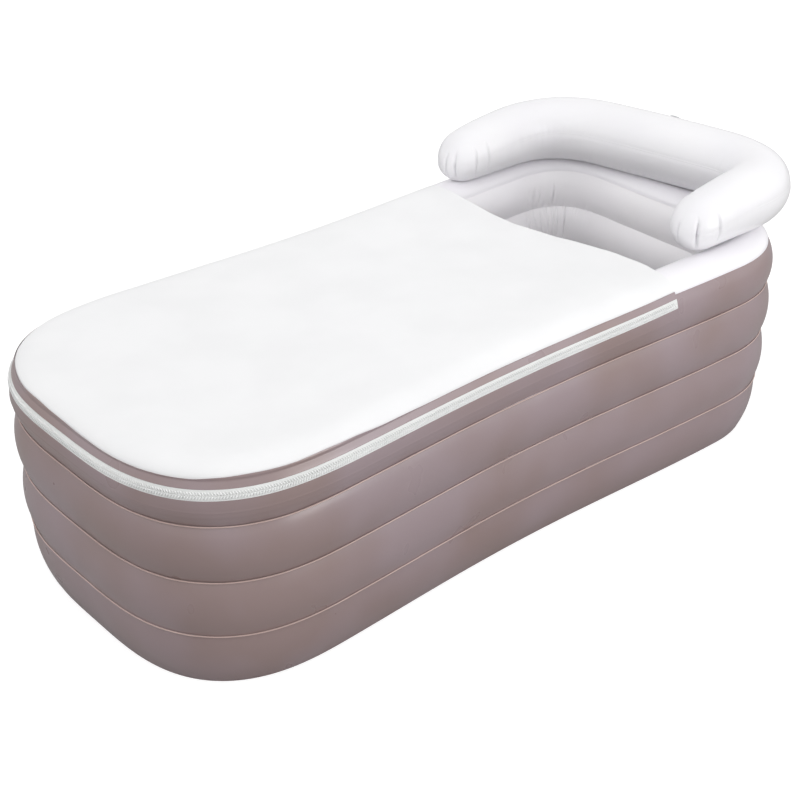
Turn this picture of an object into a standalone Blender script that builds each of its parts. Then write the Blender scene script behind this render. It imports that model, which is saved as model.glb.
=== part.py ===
# Inflatable bathtub with a zip-off cover and a horseshoe headrest.
# Metres, +Z up. The head end is towards +X and the near side towards -Y.
# The origin is on the floor under the middle of the tub.
import math

import bmesh
import bpy
from mathutils import Matrix, Vector

# Films and clearances
FILM = 0.0005
COVER_FILM = 0.0006
GAP = 0.0003
FOLLOW_GAP = 0.0007
OVERRUN = 0.02

# Plan of the weld lines, seen from above
HALF_LENGTH = 0.7985
HALF_WIDTH = 0.366
FOOT_CORNER_SHARE = 0.9426
HEAD_CORNER_SHARE = 0.6257
FOOT_CORNER_POWER = 2.9
HEAD_CORNER_POWER = 2.3
WAIST = 0.0198
WAIST_X = -0.0235
WAIST_REACH = 0.62
FOOT_STEPS = 9
HEAD_STEPS = 8

# Wall section
TIER_PITCH = 0.1143
TIERS = 4
WALL = 0.1007
OUTER_BULGE = 0.0130
BULGE_LESS = 0.0025
INNER_BULGE = 0.018
BASE_TUCK = 0.018
TOP_BULGE = 0.012
TOP_TIER = 0.0878
RIM_TUCK = 0.004
RIM_RISE = 0.0236
OUTER_STEPS = 4
INNER_STEPS = 4
RIM_STEPS = 8
VENT = 0.05

# Weld ridges in the outer wall's grooves
RIDGE_OUT = 0.0024
RIDGE_HALF = 0.001

# Inflated floor
FLOOR_INSET = 0.034
FLOOR_HEIGHT = 0.046
FLOOR_CHANNELS = 9
FLOOR_CHANNEL_STEPS = 4
FLOOR_CROSS_STEPS = 8
FLOOR_END_ROUND = 0.05
FLOOR_ARCH_POWER = 0.8
FLOOR_EDGE_POWER = 6

# Cover and zip
COVER_X = 0.3575
COVER_SKEW = 0.0125
BORDER = 0.0125
ZIP_TAPE = 0.009
ZIP_CARRIER = 0.034
TAPE_THICK = 0.0008
COIL_HIGH = 0.0034
COIL_DEEP = 0.0022
COIL_SHORT = 0.010
STOP_LONG = 0.005
ZIP_STRAIGHT_START = 0.400
ZIP_STRAIGHT_END = 0.1075

# Zip slider and pull
SLIDER_IN = 0.022
SLIDER_LONG = 0.016
SLIDER_THICK = 0.0016
SLIDER_LIP = 0.0012
BAIL_OUT = 0.0065
BAIL_WIRE = 0.0009
BAIL_LONG = 0.010
PULL_LONG = 0.030
PULL_WIDE = 0.0065
PULL_THICK = 0.0014
PULL_EYE = 0.0031

# Headrest
HEADREST_BACK_X = 0.7675
HEADREST_HALF_SPAN = 0.292
HEADREST_SIDE_SHIFT = 0.026
HEADREST_TURN = 0.0575
HEADREST_ARM = 0.285
HEADREST_CORNER = 0.156
HEADREST_ARM_RADIUS = 0.060
HEADREST_BACK_RADIUS = 0.073
HEADREST_FLAT = 0.004
HEADREST_WELD_DEGREES = 11.0
HEADREST_SWELL_POWER = 0.8
HEADREST_SIDES = 14
HEADREST_CORNER_STEPS = 7
END_SHARES = (0.0, 0.04, 0.16, 0.36, 0.66, 1.0)

# Air valves
VALVE_FLANGE = 0.017
VALVE_FLANGE_THICK = 0.0014
VALVE_NECK = 0.0068
VALVE_BORE = 0.0052
VALVE_DEEP = 0.012
STOPPER_HEAD = 0.0095
STOPPER_HEAD_THICK = 0.002
STOPPER_LONG = 0.010
STRAP_WIRE = 0.0009
STRAP_RISE = 0.006
STRAP_STEPS = 6
HEADREST_VALVE_DEGREES = 45.0
TURN_STEPS = 16
WALL_VALVE_Y = 0.09
FLOOR_VALVE_Y = 0.12

# Drain through the lowest tier
DRAIN_Y = -0.08
DRAIN_PIPE = 0.013
DRAIN_BORE = 0.011
DRAIN_FLANGE = 0.026
DRAIN_FLANGE_THICK = 0.0018
DRAIN_SPOUT = 0.016
DRAIN_CAP_WALL = 0.002
PLUG_LONG = 0.014
PLUG_KNOB = 0.006
PLUG_KNOB_LONG = 0.009


def clear_scene():
    for item in list(bpy.data.objects):
        bpy.data.objects.remove(item)


def make_collection(name):
    collection = bpy.data.collections.new(name)
    bpy.context.scene.collection.children.link(collection)
    return collection


def make_material(name, colour, roughness, metallic=0.0):
    material = bpy.data.materials.new(name)
    material.use_nodes = True
    shader = material.node_tree.nodes["Principled BSDF"]
    shader.inputs["Base Color"].default_value = (*colour, 1.0)
    shader.inputs["Roughness"].default_value = roughness
    shader.inputs["Metallic"].default_value = metallic
    return material


def add_object(name, mesh, look=None, collection=None):
    item = bpy.data.objects.new(name, mesh)
    (collection or tub).objects.link(item)
    if look:
        colour, roughness, metallic = look
        mesh.materials.clear()
        mesh.materials.append(make_material(name + "_finish", colour, roughness, metallic))
    return item


def report(words, vector):
    print(words, [round(value, 5) for value in vector])


def smooth(item, angle=40.0):
    item.data.shade_smooth()
    item.data.set_sharp_from_angle(angle=math.radians(angle))


# Colours and finishes of the real materials
TAUPE = ((0.32, 0.26, 0.26), 0.4, 0.0)
WHITE = ((0.86, 0.86, 0.87), 0.35, 0.0)
SHEET = ((0.87, 0.87, 0.88), 0.6, 0.0)
PEACH = ((0.78, 0.58, 0.5), 0.4, 0.0)
TAPE = ((0.8, 0.81, 0.8), 0.8, 0.0)
COIL = ((0.72, 0.74, 0.73), 0.5, 0.0)
CLEAR = ((0.75, 0.77, 0.78), 0.25, 0.0)
GREY = ((0.35, 0.33, 0.33), 0.4, 0.0)
NICKEL = ((0.6, 0.6, 0.6), 0.3, 1.0)


# Plan outline of the weld lines

FOOT_CORNER = HALF_WIDTH * FOOT_CORNER_SHARE
HEAD_CORNER = HALF_WIDTH * HEAD_CORNER_SHARE


def corner_point(size, power, turn):
    return size * math.cos(turn) ** (2 / power), size * math.sin(turn) ** (2 / power)


def waist_share(x):
    reach = min(1.0, abs(x - WAIST_X) / WAIST_REACH)
    return 1.0 - WAIST / HALF_WIDTH * math.cos(math.pi / 2 * reach) ** 2


def side_stations():
    start = HALF_LENGTH - HEAD_CORNER
    end = FOOT_CORNER - HALF_LENGTH
    middle = (ZIP_STRAIGHT_END + end) / 2
    return [x for x in (ZIP_STRAIGHT_START, ZIP_STRAIGHT_END, middle) if end < x < start]


def near_half():
    # From the head end, along the near side, to the foot end
    points = []
    for step in range(HEAD_STEPS + 1):
        along, across = corner_point(HEAD_CORNER, HEAD_CORNER_POWER, math.pi / 2 * step / HEAD_STEPS)
        points.append((HALF_LENGTH - HEAD_CORNER + along, HEAD_CORNER - HALF_WIDTH - across))
    for x in side_stations():
        points.append((x, -HALF_WIDTH))
    for step in range(FOOT_STEPS + 1):
        across, along = corner_point(FOOT_CORNER, FOOT_CORNER_POWER, math.pi / 2 * step / FOOT_STEPS)
        points.append((FOOT_CORNER - HALF_LENGTH - along, FOOT_CORNER - HALF_WIDTH - across))
    return [(x, y * waist_share(x)) for x, y in points]


def ring_path():
    near = near_half()
    return near + [(x, -y) for x, y in reversed(near)]


def near_part(end_x):
    # The near half from end_x to the foot end, its first point on the ring's own side
    near = near_half()
    index = next(count for count, point in enumerate(near) if point[0] < end_x)
    before, after = near[index - 1], near[index]
    share = (end_x - before[0]) / (after[0] - before[0])
    start = (end_x, before[1] + share * (after[1] - before[1]))
    return [start] + near[index:]


def open_path(short=0.0):
    # From the cover's end on the near side, round the foot, to its end on the far side
    near = near_part(COVER_X + COVER_SKEW - short)
    far = near_part(COVER_X - COVER_SKEW - short)
    return near + [(x, -y) for x, y in reversed(far)]


def offset_points(path, offset):
    # The corners of the path moved outwards, in the same section planes as a sweep
    moved = []
    for index, point in enumerate(path):
        here = Vector(point)
        before = (here - Vector(path[index - 1])).normalized()
        after = (Vector(path[(index + 1) % len(path)]) - here).normalized()
        along = (before + after).normalized()
        moved.append((here.x - along.y * offset, here.y + along.x * offset))
    return moved


# Modelling helpers

def poly_curve(name, points, cyclic, flat=False):
    curve = bpy.data.curves.new(name, "CURVE")
    curve.dimensions = "2D" if flat else "3D"
    spline = curve.splines.new("POLY")
    spline.points.add(len(points) - 1)
    for knot, point in zip(spline.points, points):
        x, y, *rest = point
        knot.co = (x, y, rest[0] if rest else 0.0, 1.0)
    spline.use_cyclic_u = cyclic
    return curve


def mesh_from_curve(name, curve):
    # The curve's surface as a welded mesh
    carrier = bpy.data.objects.new(name, curve)
    bpy.context.scene.collection.objects.link(carrier)
    depsgraph = bpy.context.evaluated_depsgraph_get()
    mesh = bpy.data.meshes.new_from_object(carrier.evaluated_get(depsgraph))
    bpy.data.objects.remove(carrier)
    work = bmesh.new()
    work.from_mesh(mesh)
    bmesh.ops.remove_doubles(work, verts=work.verts, dist=FILM / 50)
    bmesh.ops.recalc_face_normals(work, faces=work.faces)
    work.to_mesh(mesh)
    work.free()
    return mesh


def sweep_mesh(name, path, profile, cyclic=True, closed=True, radii=None):
    # A section carried along a path; its first number is outwards, its second up
    section = poly_curve(name + "_section", [(-out, up) for out, up in profile], closed, flat=True)
    section_object = bpy.data.objects.new(name + "_section", section)
    bpy.context.scene.collection.objects.link(section_object)
    curve = poly_curve(name, path, cyclic)
    curve.twist_mode = "Z_UP"
    curve.bevel_mode = "OBJECT"
    curve.bevel_object = section_object
    curve.use_fill_caps = closed and not cyclic
    for knot, radius in zip(curve.splines[0].points, radii or []):
        knot.radius = radius
    mesh = mesh_from_curve(name, curve)
    bpy.data.objects.remove(section_object)
    return mesh


def sweep(name, path, profile, look, cyclic=True):
    item = add_object(name, sweep_mesh(name, path, profile, cyclic), look)
    smooth(item)
    return item


def turned(name, profile, look, place, closed=True):
    # A profile turned about Z, then set at its place
    mesh = bpy.data.meshes.new(name)
    work = bmesh.new()
    corners = [work.verts.new((radius, 0.0, height)) for radius, height in profile]
    for first, second in zip(corners, corners[1:]):
        work.edges.new((first, second))
    if closed:
        work.edges.new((corners[-1], corners[0]))
    work.to_mesh(mesh)
    work.free()
    item = add_object(name, mesh, look)
    screw = item.modifiers.new("Turn", "SCREW")
    screw.steps = TURN_STEPS
    screw.render_steps = TURN_STEPS
    screw.use_merge_vertices = True
    screw.merge_threshold = FILM / 50
    screw.use_smooth_shade = False
    item.matrix_world = place
    return item


def block(name, centre, size, look=None, turn=None, bevel=0.0, collection=None):
    mesh = bpy.data.meshes.new(name)
    work = bmesh.new()
    bmesh.ops.create_cube(work, size=1.0)
    bmesh.ops.scale(work, verts=work.verts, vec=size)
    work.to_mesh(mesh)
    work.free()
    item = add_object(name, mesh, look, collection)
    item.matrix_world = Matrix.Translation(centre) @ (turn or Matrix.Identity(4))
    if bevel:
        edge = item.modifiers.new("Edges", "BEVEL")
        edge.width = bevel
        edge.segments = 2
        edge.limit_method = "ANGLE"
    return item


def rod(name, place, radius, reach, look=None, collection=None):
    mesh = bpy.data.meshes.new(name)
    work = bmesh.new()
    bmesh.ops.create_cone(work, cap_ends=True, segments=TURN_STEPS,
                          radius1=radius, radius2=radius, depth=reach)
    work.to_mesh(mesh)
    work.free()
    item = add_object(name, mesh, look, collection)
    item.matrix_world = place
    return item


def rod_cutter(name, place, radius, reach):
    return hide_cutter(rod(name, place, radius, reach, collection=cutters))


def hide_cutter(cutter):
    cutter.hide_render = True
    cutter.display_type = "WIRE"
    return cutter


def cut(item, cutter):
    boolean = item.modifiers.new("Cut " + cutter.name, "BOOLEAN")
    boolean.operation = "DIFFERENCE"
    boolean.solver = "EXACT"
    boolean.object = cutter


def thicken(item, thickness):
    shell = item.modifiers.new("Film", "SOLIDIFY")
    shell.thickness = thickness
    shell.offset = 1.0
    shell.use_even_offset = True
    return shell


def aimed(position, direction):
    # A placement whose Z axis points along direction
    spin = Vector(direction).to_track_quat("Z", "Y").to_matrix().to_4x4()
    return Matrix.Translation(position) @ spin


# Wall section

def arc(start, end, bulge, steps):
    # A round arc from start to end, its middle standing out sideways by bulge
    start = Vector(start)
    end = Vector(end)
    chord = (end - start).length
    radius = (chord ** 2 / 4 + bulge ** 2) / (2 * bulge)
    half_angle = math.asin(chord / 2 / radius)
    along = (end - start) / chord
    out = Vector((along.y, -along.x))
    middle = (start + end) / 2 + out * (bulge - radius)
    points = []
    for step in range(steps + 1):
        turn = half_angle * (2 * step / steps - 1)
        points.append(tuple(middle + along * radius * math.sin(turn) + out * radius * math.cos(turn)))
    return points


def seam(index):
    return TIER_PITCH * index


BASE_TOP = FILM + GAP
TOP_SEAM = TIER_PITCH * (TIERS - 1)
RIM_Z = TOP_SEAM + TOP_TIER
CREST = RIM_Z + RIM_RISE
RIM_HALF = (WALL - 2 * RIM_TUCK) / 2
RIM_MIDDLE = -WALL / 2


def outer_line():
    points = []
    for index in range(TIERS - 1):
        start = (-BASE_TUCK, BASE_TOP) if index == 0 else (0.0, seam(index))
        bulge = OUTER_BULGE - BULGE_LESS * (TIERS - 2 - index)
        points += arc(start, (0.0, seam(index + 1)), bulge, OUTER_STEPS)[:-1]
    return points + arc((0.0, TOP_SEAM), (-RIM_TUCK, RIM_Z), TOP_BULGE, OUTER_STEPS)


def outer_at(height):
    # How far out the outer wall stands at a height
    line = outer_line()
    for (out, up), (next_out, next_up) in zip(line, line[1:]):
        if up <= height <= next_up:
            return out + (next_out - out) * (height - up) / (next_up - up)
    return 0.0


def inner_line():
    points = []
    for index in range(TIERS - 1):
        start = (-WALL, BASE_TOP if index == 0 else seam(index))
        points += arc(start, (-WALL, seam(index + 1)), -INNER_BULGE, INNER_STEPS)[:-1]
    return points + arc((-WALL, TOP_SEAM), (RIM_TUCK - WALL, RIM_Z), -TOP_BULGE, INNER_STEPS)


def top_wall_out(height):
    # How far the top tier stands out at a height, on its true arc
    chord = math.hypot(TOP_TIER, RIM_TUCK)
    radius = (chord ** 2 / 4 + TOP_BULGE ** 2) / (2 * TOP_BULGE)
    share = (height - TOP_SEAM) / TOP_TIER
    rise = (share - 0.5) * chord
    return -RIM_TUCK * share + math.sqrt(radius ** 2 - rise ** 2) - radius + TOP_BULGE


def film_section(line, outwards):
    back = [(out - outwards * FILM, up) for out, up in reversed(line)]
    return line + back


def rim_line(grow, first_step, last_step):
    points = []
    for step in range(first_step, last_step + 1):
        turn = math.pi * step / RIM_STEPS
        out = RIM_MIDDLE + (RIM_HALF + grow) * math.cos(turn)
        points.append((out, RIM_Z + GAP + (RIM_RISE + grow - GAP) * math.sin(turn)))
    return points


def make_walls():
    outer = sweep("outer_wall_film", ring_path(), film_section(outer_line(), 1), TAUPE)
    inner = sweep("inner_wall_film", ring_path(), film_section(inner_line(), -1), WHITE)
    section = rim_line(0.0, 0, RIM_STEPS) + list(reversed(rim_line(-FILM, 0, RIM_STEPS)))
    sweep("rim_film", ring_path(), section, WHITE)
    return outer, inner


def make_base():
    curve = poly_curve("base_film", offset_points(ring_path(), -BASE_TUCK), True, flat=True)
    curve.fill_mode = "BOTH"
    curve.extrude = FILM / 2
    item = add_object("base_film", mesh_from_curve("base_film", curve), TAUPE)
    item.location = (0.0, 0.0, FILM / 2)


def make_webs():
    vent = block("vent_cutter", (-HALF_LENGTH + WALL / 2, 0.0, TOP_SEAM / 2),
                 (WALL / 2, VENT, TOP_SEAM + OVERRUN), collection=cutters)
    hide_cutter(vent)
    for index in range(1, TIERS):
        height = seam(index)
        outer = -FILM - GAP
        inner = -WALL + FILM + GAP
        section = [(outer, height - FILM / 2), (outer, height + FILM / 2),
                   (inner, height + FILM / 2), (inner, height - FILM / 2)]
        web = sweep("web_%d" % index, ring_path(), section, WHITE)
        cut(web, vent)
        tip = FILM + GAP
        ridge = [(tip, height), (RIDGE_OUT, height + RIDGE_HALF), (RIDGE_OUT, height - RIDGE_HALF)]
        sweep("weld_line_%d" % index, ring_path(), ridge, PEACH)


# Inflated floor

def half_width_at(x, inset):
    # Half the tub's width at x, drawn in by inset
    width = HALF_WIDTH - inset
    length = HALF_LENGTH - inset
    for corner, power, ahead in ((FOOT_CORNER - inset, FOOT_CORNER_POWER, -x),
                                 (HEAD_CORNER - inset, HEAD_CORNER_POWER, x)):
        into = (ahead - (length - corner)) / corner
        if into > 0:
            width = width - corner + corner * (1 - min(1.0, into) ** power) ** (1 / power)
    return width * waist_share(x)


FLOOR_EDGE = WALL + FLOOR_INSET
FLOOR_HALF_LONG = HALF_LENGTH - FLOOR_EDGE - FLOOR_END_ROUND / 2
FLOOR_PITCH = 2 * FLOOR_HALF_LONG / FLOOR_CHANNELS


def make_floor():
    mesh = bpy.data.meshes.new("floor_film")
    work = bmesh.new()
    bmesh.ops.create_grid(work, x_segments=FLOOR_CHANNELS * FLOOR_CHANNEL_STEPS,
                          y_segments=FLOOR_CROSS_STEPS, size=1.0)
    for corner in work.verts:
        x = corner.co.x * FLOOR_HALF_LONG
        side = math.sin(math.pi / 2 * corner.co.y)
        arch = abs(math.sin(math.pi * (x + FLOOR_HALF_LONG) / FLOOR_PITCH))
        edge = math.sqrt(max(0.0, 1.0 - side ** FLOOR_EDGE_POWER))
        rise = FLOOR_HEIGHT * arch ** FLOOR_ARCH_POWER * edge
        corner.co = (x, side * half_width_at(x, FLOOR_EDGE), BASE_TOP + rise)
    work.to_mesh(mesh)
    work.free()
    item = add_object("floor_film", mesh, WHITE)
    thicken(item, FILM)
    smooth(item)
    return item


# Cover and zip

ZIP_TOP = RIM_Z - BORDER
ZIP_MIDDLE = ZIP_TOP - GAP - ZIP_TAPE
ZIP_BOTTOM = ZIP_MIDDLE - GAP - ZIP_TAPE
COIL_LIFT = FOLLOW_GAP + TAPE_THICK + GAP


def strip_section(low, high, lift, thick, steps=1):
    # A strip that follows the top tier's face, lift away from it
    heights = [low + (high - low) * step / steps for step in range(steps + 1)]
    face = [(top_wall_out(height) + lift + thick, height) for height in heights]
    back = [(top_wall_out(height) + lift, height) for height in reversed(heights)]
    return face + back


def strip(name, low, high, lift, thick, look, short=0.0, steps=1):
    return sweep(name, open_path(short), strip_section(low, high, lift, thick, steps), look, cyclic=False)


def make_cover():
    surface = sweep_mesh("cover_sheet", ring_path(), rim_line(GAP, 0, RIM_STEPS // 2), closed=False)
    work = bmesh.new()
    work.from_mesh(surface)
    crest = max(corner.co.z for corner in work.verts)
    border = [edge for edge in work.edges
              if edge.is_boundary and min(end.co.z for end in edge.verts) > crest - GAP]
    bmesh.ops.edgeloop_fill(work, edges=border)
    bmesh.ops.recalc_face_normals(work, faces=work.faces)
    if sum(face.normal.z * face.calc_area() for face in work.faces) < 0:
        bmesh.ops.reverse_faces(work, faces=work.faces)
    work.to_mesh(surface)
    work.free()
    cover = add_object("cover_sheet", surface, SHEET)
    thicken(cover, COVER_FILM)
    head_part = HALF_LENGTH + OVERRUN - COVER_X
    skew = Matrix.Rotation(math.atan(COVER_SKEW / HALF_WIDTH), 4, "Z")
    edge = Matrix.Translation((COVER_X, 0.0, CREST)) @ skew
    opener = block("cover_cutter", (0.0, 0.0, 0.0),
                   (2 * head_part, 3 * HALF_WIDTH, 2 * RIM_RISE + 2 * OVERRUN), collection=cutters)
    opener.matrix_world = edge @ Matrix.Translation((head_part, 0.0, 0.0))
    cut(cover, hide_cutter(opener))
    strip("cover_border", ZIP_TOP, RIM_Z - GAP, FOLLOW_GAP, FILM, TAUPE)


def make_zip():
    strip("zip_tape_upper", ZIP_MIDDLE + GAP / 2, ZIP_TOP - GAP, FOLLOW_GAP, TAPE_THICK, TAPE)
    strip("zip_tape_lower", ZIP_BOTTOM, ZIP_MIDDLE - GAP / 2, FOLLOW_GAP, TAPE_THICK, TAPE)
    strip("zip_carrier", ZIP_BOTTOM - GAP - ZIP_CARRIER, ZIP_BOTTOM - GAP, FOLLOW_GAP, FILM, TAUPE, steps=2)
    upper = ZIP_MIDDLE + GAP / 2
    lower = ZIP_MIDDLE - GAP / 2 - COIL_HIGH
    for name, low in (("zip_coil_upper", upper), ("zip_coil_lower", lower)):
        strip(name, low, low + COIL_HIGH, COIL_LIFT, COIL_DEEP, COIL, short=COIL_SHORT)


def zip_frame(along, side):
    # A point of the zip line near one of its ends, its travel towards the foot and its outward direction
    path = open_path()
    first, second = (path[0], path[1]) if side < 0 else (path[-1], path[-2])
    travel = Vector((second[0] - first[0], second[1] - first[1], 0.0))
    travel.normalize()
    point = Vector((first[0], first[1], 0.0)) + travel * along
    outward = Vector((-travel.y, travel.x, 0.0))
    if outward.y * side < 0:
        outward.negate()
    return point, travel, outward


def zip_turn(travel, outward):
    # Columns: along the zip, outwards, up
    up = Vector((0.0, 0.0, 1.0))
    if travel.cross(outward).z < 0:
        travel = -travel
    return Matrix((travel, outward, up)).transposed().to_4x4()


def make_stops():
    for name, side in (("zip_stop_near", -1), ("zip_stop_far", 1)):
        point, travel, outward = zip_frame(COIL_SHORT / 2, side)
        height = ZIP_MIDDLE - GAP / 2 - COIL_HIGH / 2
        out = top_wall_out(height) + COIL_LIFT + COIL_DEEP / 2 + GAP
        centre = point + outward * out + Vector((0.0, 0.0, height))
        size = (STOP_LONG, COIL_DEEP, COIL_HIGH)
        block(name, centre, size, COIL, zip_turn(travel, outward), COIL_DEEP / 6)


def make_slider():
    point, travel, outward = zip_frame(SLIDER_IN, 1)
    turn = zip_turn(travel, outward)
    face = top_wall_out(ZIP_MIDDLE - COIL_HIGH) + COIL_LIFT + COIL_DEEP + GAP
    low = ZIP_MIDDLE - GAP / 2 - COIL_HIGH - GAP - SLIDER_LIP
    high = ZIP_MIDDLE + COIL_HIGH
    place = Matrix.Translation(point + outward * face) @ turn
    plate = block("zip_slider", (0.0, 0.0, 0.0), (SLIDER_LONG, SLIDER_THICK, high - low), NICKEL)
    plate.matrix_world = place @ Matrix.Translation((0.0, SLIDER_THICK / 2, (low + high) / 2))
    lip_size = (SLIDER_LONG, COIL_DEEP + SLIDER_THICK, SLIDER_LIP)
    lip = block("slider_lip", (0.0, 0.0, 0.0), lip_size, collection=cutters)
    lip_centre = (0.0, (SLIDER_THICK - COIL_DEEP) / 2, low + SLIDER_LIP / 2)
    lip.matrix_world = place @ Matrix.Translation(lip_centre)
    join(plate, hide_cutter(lip))
    bail = add_object("slider_bail", bail_shape(SLIDER_THICK / 2), collection=cutters)
    bail.matrix_world = place @ Matrix.Translation((0.0, 0.0, (low + high) / 2))
    join(plate, hide_cutter(bail))
    pivot = place @ Matrix.Translation((0.0, BAIL_OUT, (low + high) / 2))
    make_pull(pivot)
    report("zip pull pivot", pivot.translation)
    report("zip travel", travel)


def join(item, other):
    boolean = item.modifiers.new("Join " + other.name, "BOOLEAN")
    boolean.operation = "UNION"
    boolean.solver = "EXACT"
    boolean.object = other


def bail_shape(foot):
    # A square-cornered wire arch that stands on the slider's face
    half = BAIL_LONG / 2
    points = [(-half, foot, 0.0), (-half, BAIL_OUT, 0.0), (half, BAIL_OUT, 0.0), (half, foot, 0.0)]
    curve = poly_curve("slider_bail", points, False)
    curve.bevel_depth = BAIL_WIRE
    curve.bevel_resolution = 2
    curve.use_fill_caps = True
    return mesh_from_curve("slider_bail", curve)


def make_pull(place):
    # An eye round the bail with a tab hanging below it
    across = place @ Matrix.Rotation(math.pi / 2, 4, "Y")
    pull = rod("zip_pull", across, PULL_EYE, PULL_WIDE / 2, NICKEL)
    tab = block("pull_tab", (0.0, 0.0, 0.0), (PULL_WIDE, PULL_THICK, PULL_LONG), collection=cutters)
    tab.matrix_world = place @ Matrix.Translation((0.0, 0.0, -PULL_LONG / 2))
    join(pull, hide_cutter(tab))
    cut(pull, rod_cutter("pull_hole", across, BAIL_WIRE + GAP, 2 * PULL_WIDE))


# Headrest

HEADREST_REST = CREST + GAP


def headrest_path():
    # Corners of the horseshoe, its near arm standing further out than its far one
    near = Vector((HEADREST_BACK_X + HEADREST_TURN, HEADREST_SIDE_SHIFT - HEADREST_HALF_SPAN))
    far = Vector((HEADREST_BACK_X - HEADREST_TURN, HEADREST_SIDE_SHIFT + HEADREST_HALF_SPAN))
    arm = Vector((HEADREST_ARM, 0.0))
    reach = HEADREST_ARM_RADIUS
    points = []
    for corner, other, sign in ((near, far, 1), (far, near, -1)):
        back = (other - corner).normalized()
        tip = corner - arm
        run = []
        for share in END_SHARES:
            run.append(Vector((tip.x - reach * (1 - share), tip.y)))
        enter = corner - Vector((HEADREST_CORNER, 0.0))
        leave = corner + back * HEADREST_CORNER
        for step in range(HEADREST_CORNER_STEPS + 1):
            t = step / HEADREST_CORNER_STEPS
            run.append((1 - t) ** 2 * enter + 2 * t * (1 - t) * corner + t ** 2 * leave)
        points.append(run)
    middle = (near + far) / 2
    return points[0] + [middle] + list(reversed(points[1]))


def headrest_radii(path):
    lengths = [0.0]
    for first, second in zip(path, path[1:]):
        lengths.append(lengths[-1] + (second - first).length)
    whole = lengths[-1]
    radii = []
    for length in lengths:
        swell = math.sin(math.pi * length / whole) ** HEADREST_SWELL_POWER if 0 < length < whole else 0.0
        radius = HEADREST_ARM_RADIUS + (HEADREST_BACK_RADIUS - HEADREST_ARM_RADIUS) * swell
        to_end = min(length, whole - length) / HEADREST_ARM_RADIUS
        if to_end < 1:
            radius *= math.sqrt(1 - (1 - to_end) ** 2)
        radii.append(radius)
    return radii


def make_headrest():
    path = headrest_path()
    radii = headrest_radii(path)
    widest = [max(radius, HEADREST_ARM_RADIUS) for radius in radii]
    lift = HEADREST_REST - HEADREST_FLAT
    spine = [(point.x, point.y, lift + radius) for point, radius in zip(path, widest)]
    weld = math.radians(HEADREST_WELD_DEGREES)
    upper = headrest_film("headrest_upper_film", spine, radii, weld, math.pi - weld)
    headrest_film("headrest_lower_film", spine, radii, math.pi - weld, 2 * math.pi + weld)
    return upper, spine


def headrest_film(name, spine, radii, start, end):
    # One of the two films that are welded along the headrest's sides
    section = []
    for step in range(HEADREST_SIDES // 2 + 1):
        turn = start + (end - start) * step / (HEADREST_SIDES // 2)
        section.append((math.cos(turn), math.sin(turn)))
    mesh = sweep_mesh(name, spine, section, cyclic=False, closed=False, radii=radii)
    return film_from_surface(name, mesh, start < math.pi / 2)


def film_from_surface(name, mesh, is_upper):
    # Flat where it lies on the rim, the upper film a gap above the lower one
    for corner in mesh.vertices:
        corner.co.z = max(corner.co.z, HEADREST_REST)
        corner.co.z += GAP if is_upper else 0.0
    work = bmesh.new()
    work.from_mesh(mesh)
    bmesh.ops.remove_doubles(work, verts=work.verts, dist=FILM / 50)
    bmesh.ops.recalc_face_normals(work, faces=work.faces)
    upright = sum(face.normal.z * face.calc_area() for face in work.faces)
    if (upright < 0) == is_upper:
        bmesh.ops.reverse_faces(work, faces=work.faces)
    work.to_mesh(mesh)
    work.free()
    item = add_object(name, mesh, WHITE)
    shell = thicken(item, FILM)
    shell.offset = -1.0
    smooth(item)
    return item


# Valves and drain

def make_valve(name, place):
    flange_top = VALVE_FLANGE_THICK
    turned(name + "_base", [
        (VALVE_FLANGE, flange_top), (VALVE_FLANGE, 0.0), (VALVE_NECK, 0.0), (VALVE_NECK, -VALVE_DEEP),
        (VALVE_BORE, -VALVE_DEEP), (VALVE_BORE, flange_top)], CLEAR, place)
    head_low = flange_top + GAP
    head_high = head_low + STOPPER_HEAD_THICK
    shaft = VALVE_BORE - GAP
    turned(name + "_stopper", [
        (0.0, head_high), (STOPPER_HEAD, head_high), (STOPPER_HEAD, head_low), (shaft, head_low),
        (shaft, head_low - STOPPER_LONG), (0.0, head_low - STOPPER_LONG)], CLEAR, place, closed=False)
    foot = flange_top + GAP
    outer = VALVE_FLANGE - 2 * STRAP_WIRE
    inner = STOPPER_HEAD + GAP + STRAP_WIRE
    make_strap(name + "_strap", outer, inner, foot, head_high, place)


def make_strap(name, outer, inner, low, high, place):
    # A small loop from the flange up and back to the side of the stopper's head
    top = high + STRAP_RISE
    middle = (outer + inner) / 2
    points = [(outer, 0.0, low), (outer, 0.0, (low + top) / 2)]
    radius = (outer - inner) / 2
    for step in range(STRAP_STEPS + 1):
        turn = math.pi * step / STRAP_STEPS
        points.append((middle + radius * math.cos(turn), 0.0, top - radius + radius * math.sin(turn)))
    points += [(inner, 0.0, high - STRAP_WIRE)]
    curve = poly_curve(name, points, False)
    curve.bevel_depth = STRAP_WIRE
    curve.bevel_resolution = 1
    curve.use_fill_caps = True
    item = add_object(name, mesh_from_curve(name, curve), CLEAR)
    item.matrix_world = place


def make_wall_valve(outer):
    height = seam(2) + TIER_PITCH / 2
    face = HALF_LENGTH + OUTER_BULGE + GAP
    place = aimed((face, WALL_VALVE_Y, height), (1.0, 0.0, 0.0))
    cut(outer, rod_cutter("wall_valve_cutter", place, VALVE_NECK + GAP, 2 * VALVE_DEEP))
    make_valve("wall_valve", place)


def make_floor_valve(floor):
    x = FLOOR_HALF_LONG - FLOOR_PITCH / 2
    place = aimed((x, FLOOR_VALVE_Y, BASE_TOP + FLOOR_HEIGHT + FILM + GAP), (0.0, 0.0, 1.0))
    cut(floor, rod_cutter("floor_valve_cutter", place, VALVE_NECK + GAP, 2 * VALVE_DEEP))
    make_valve("floor_valve", place)


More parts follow.
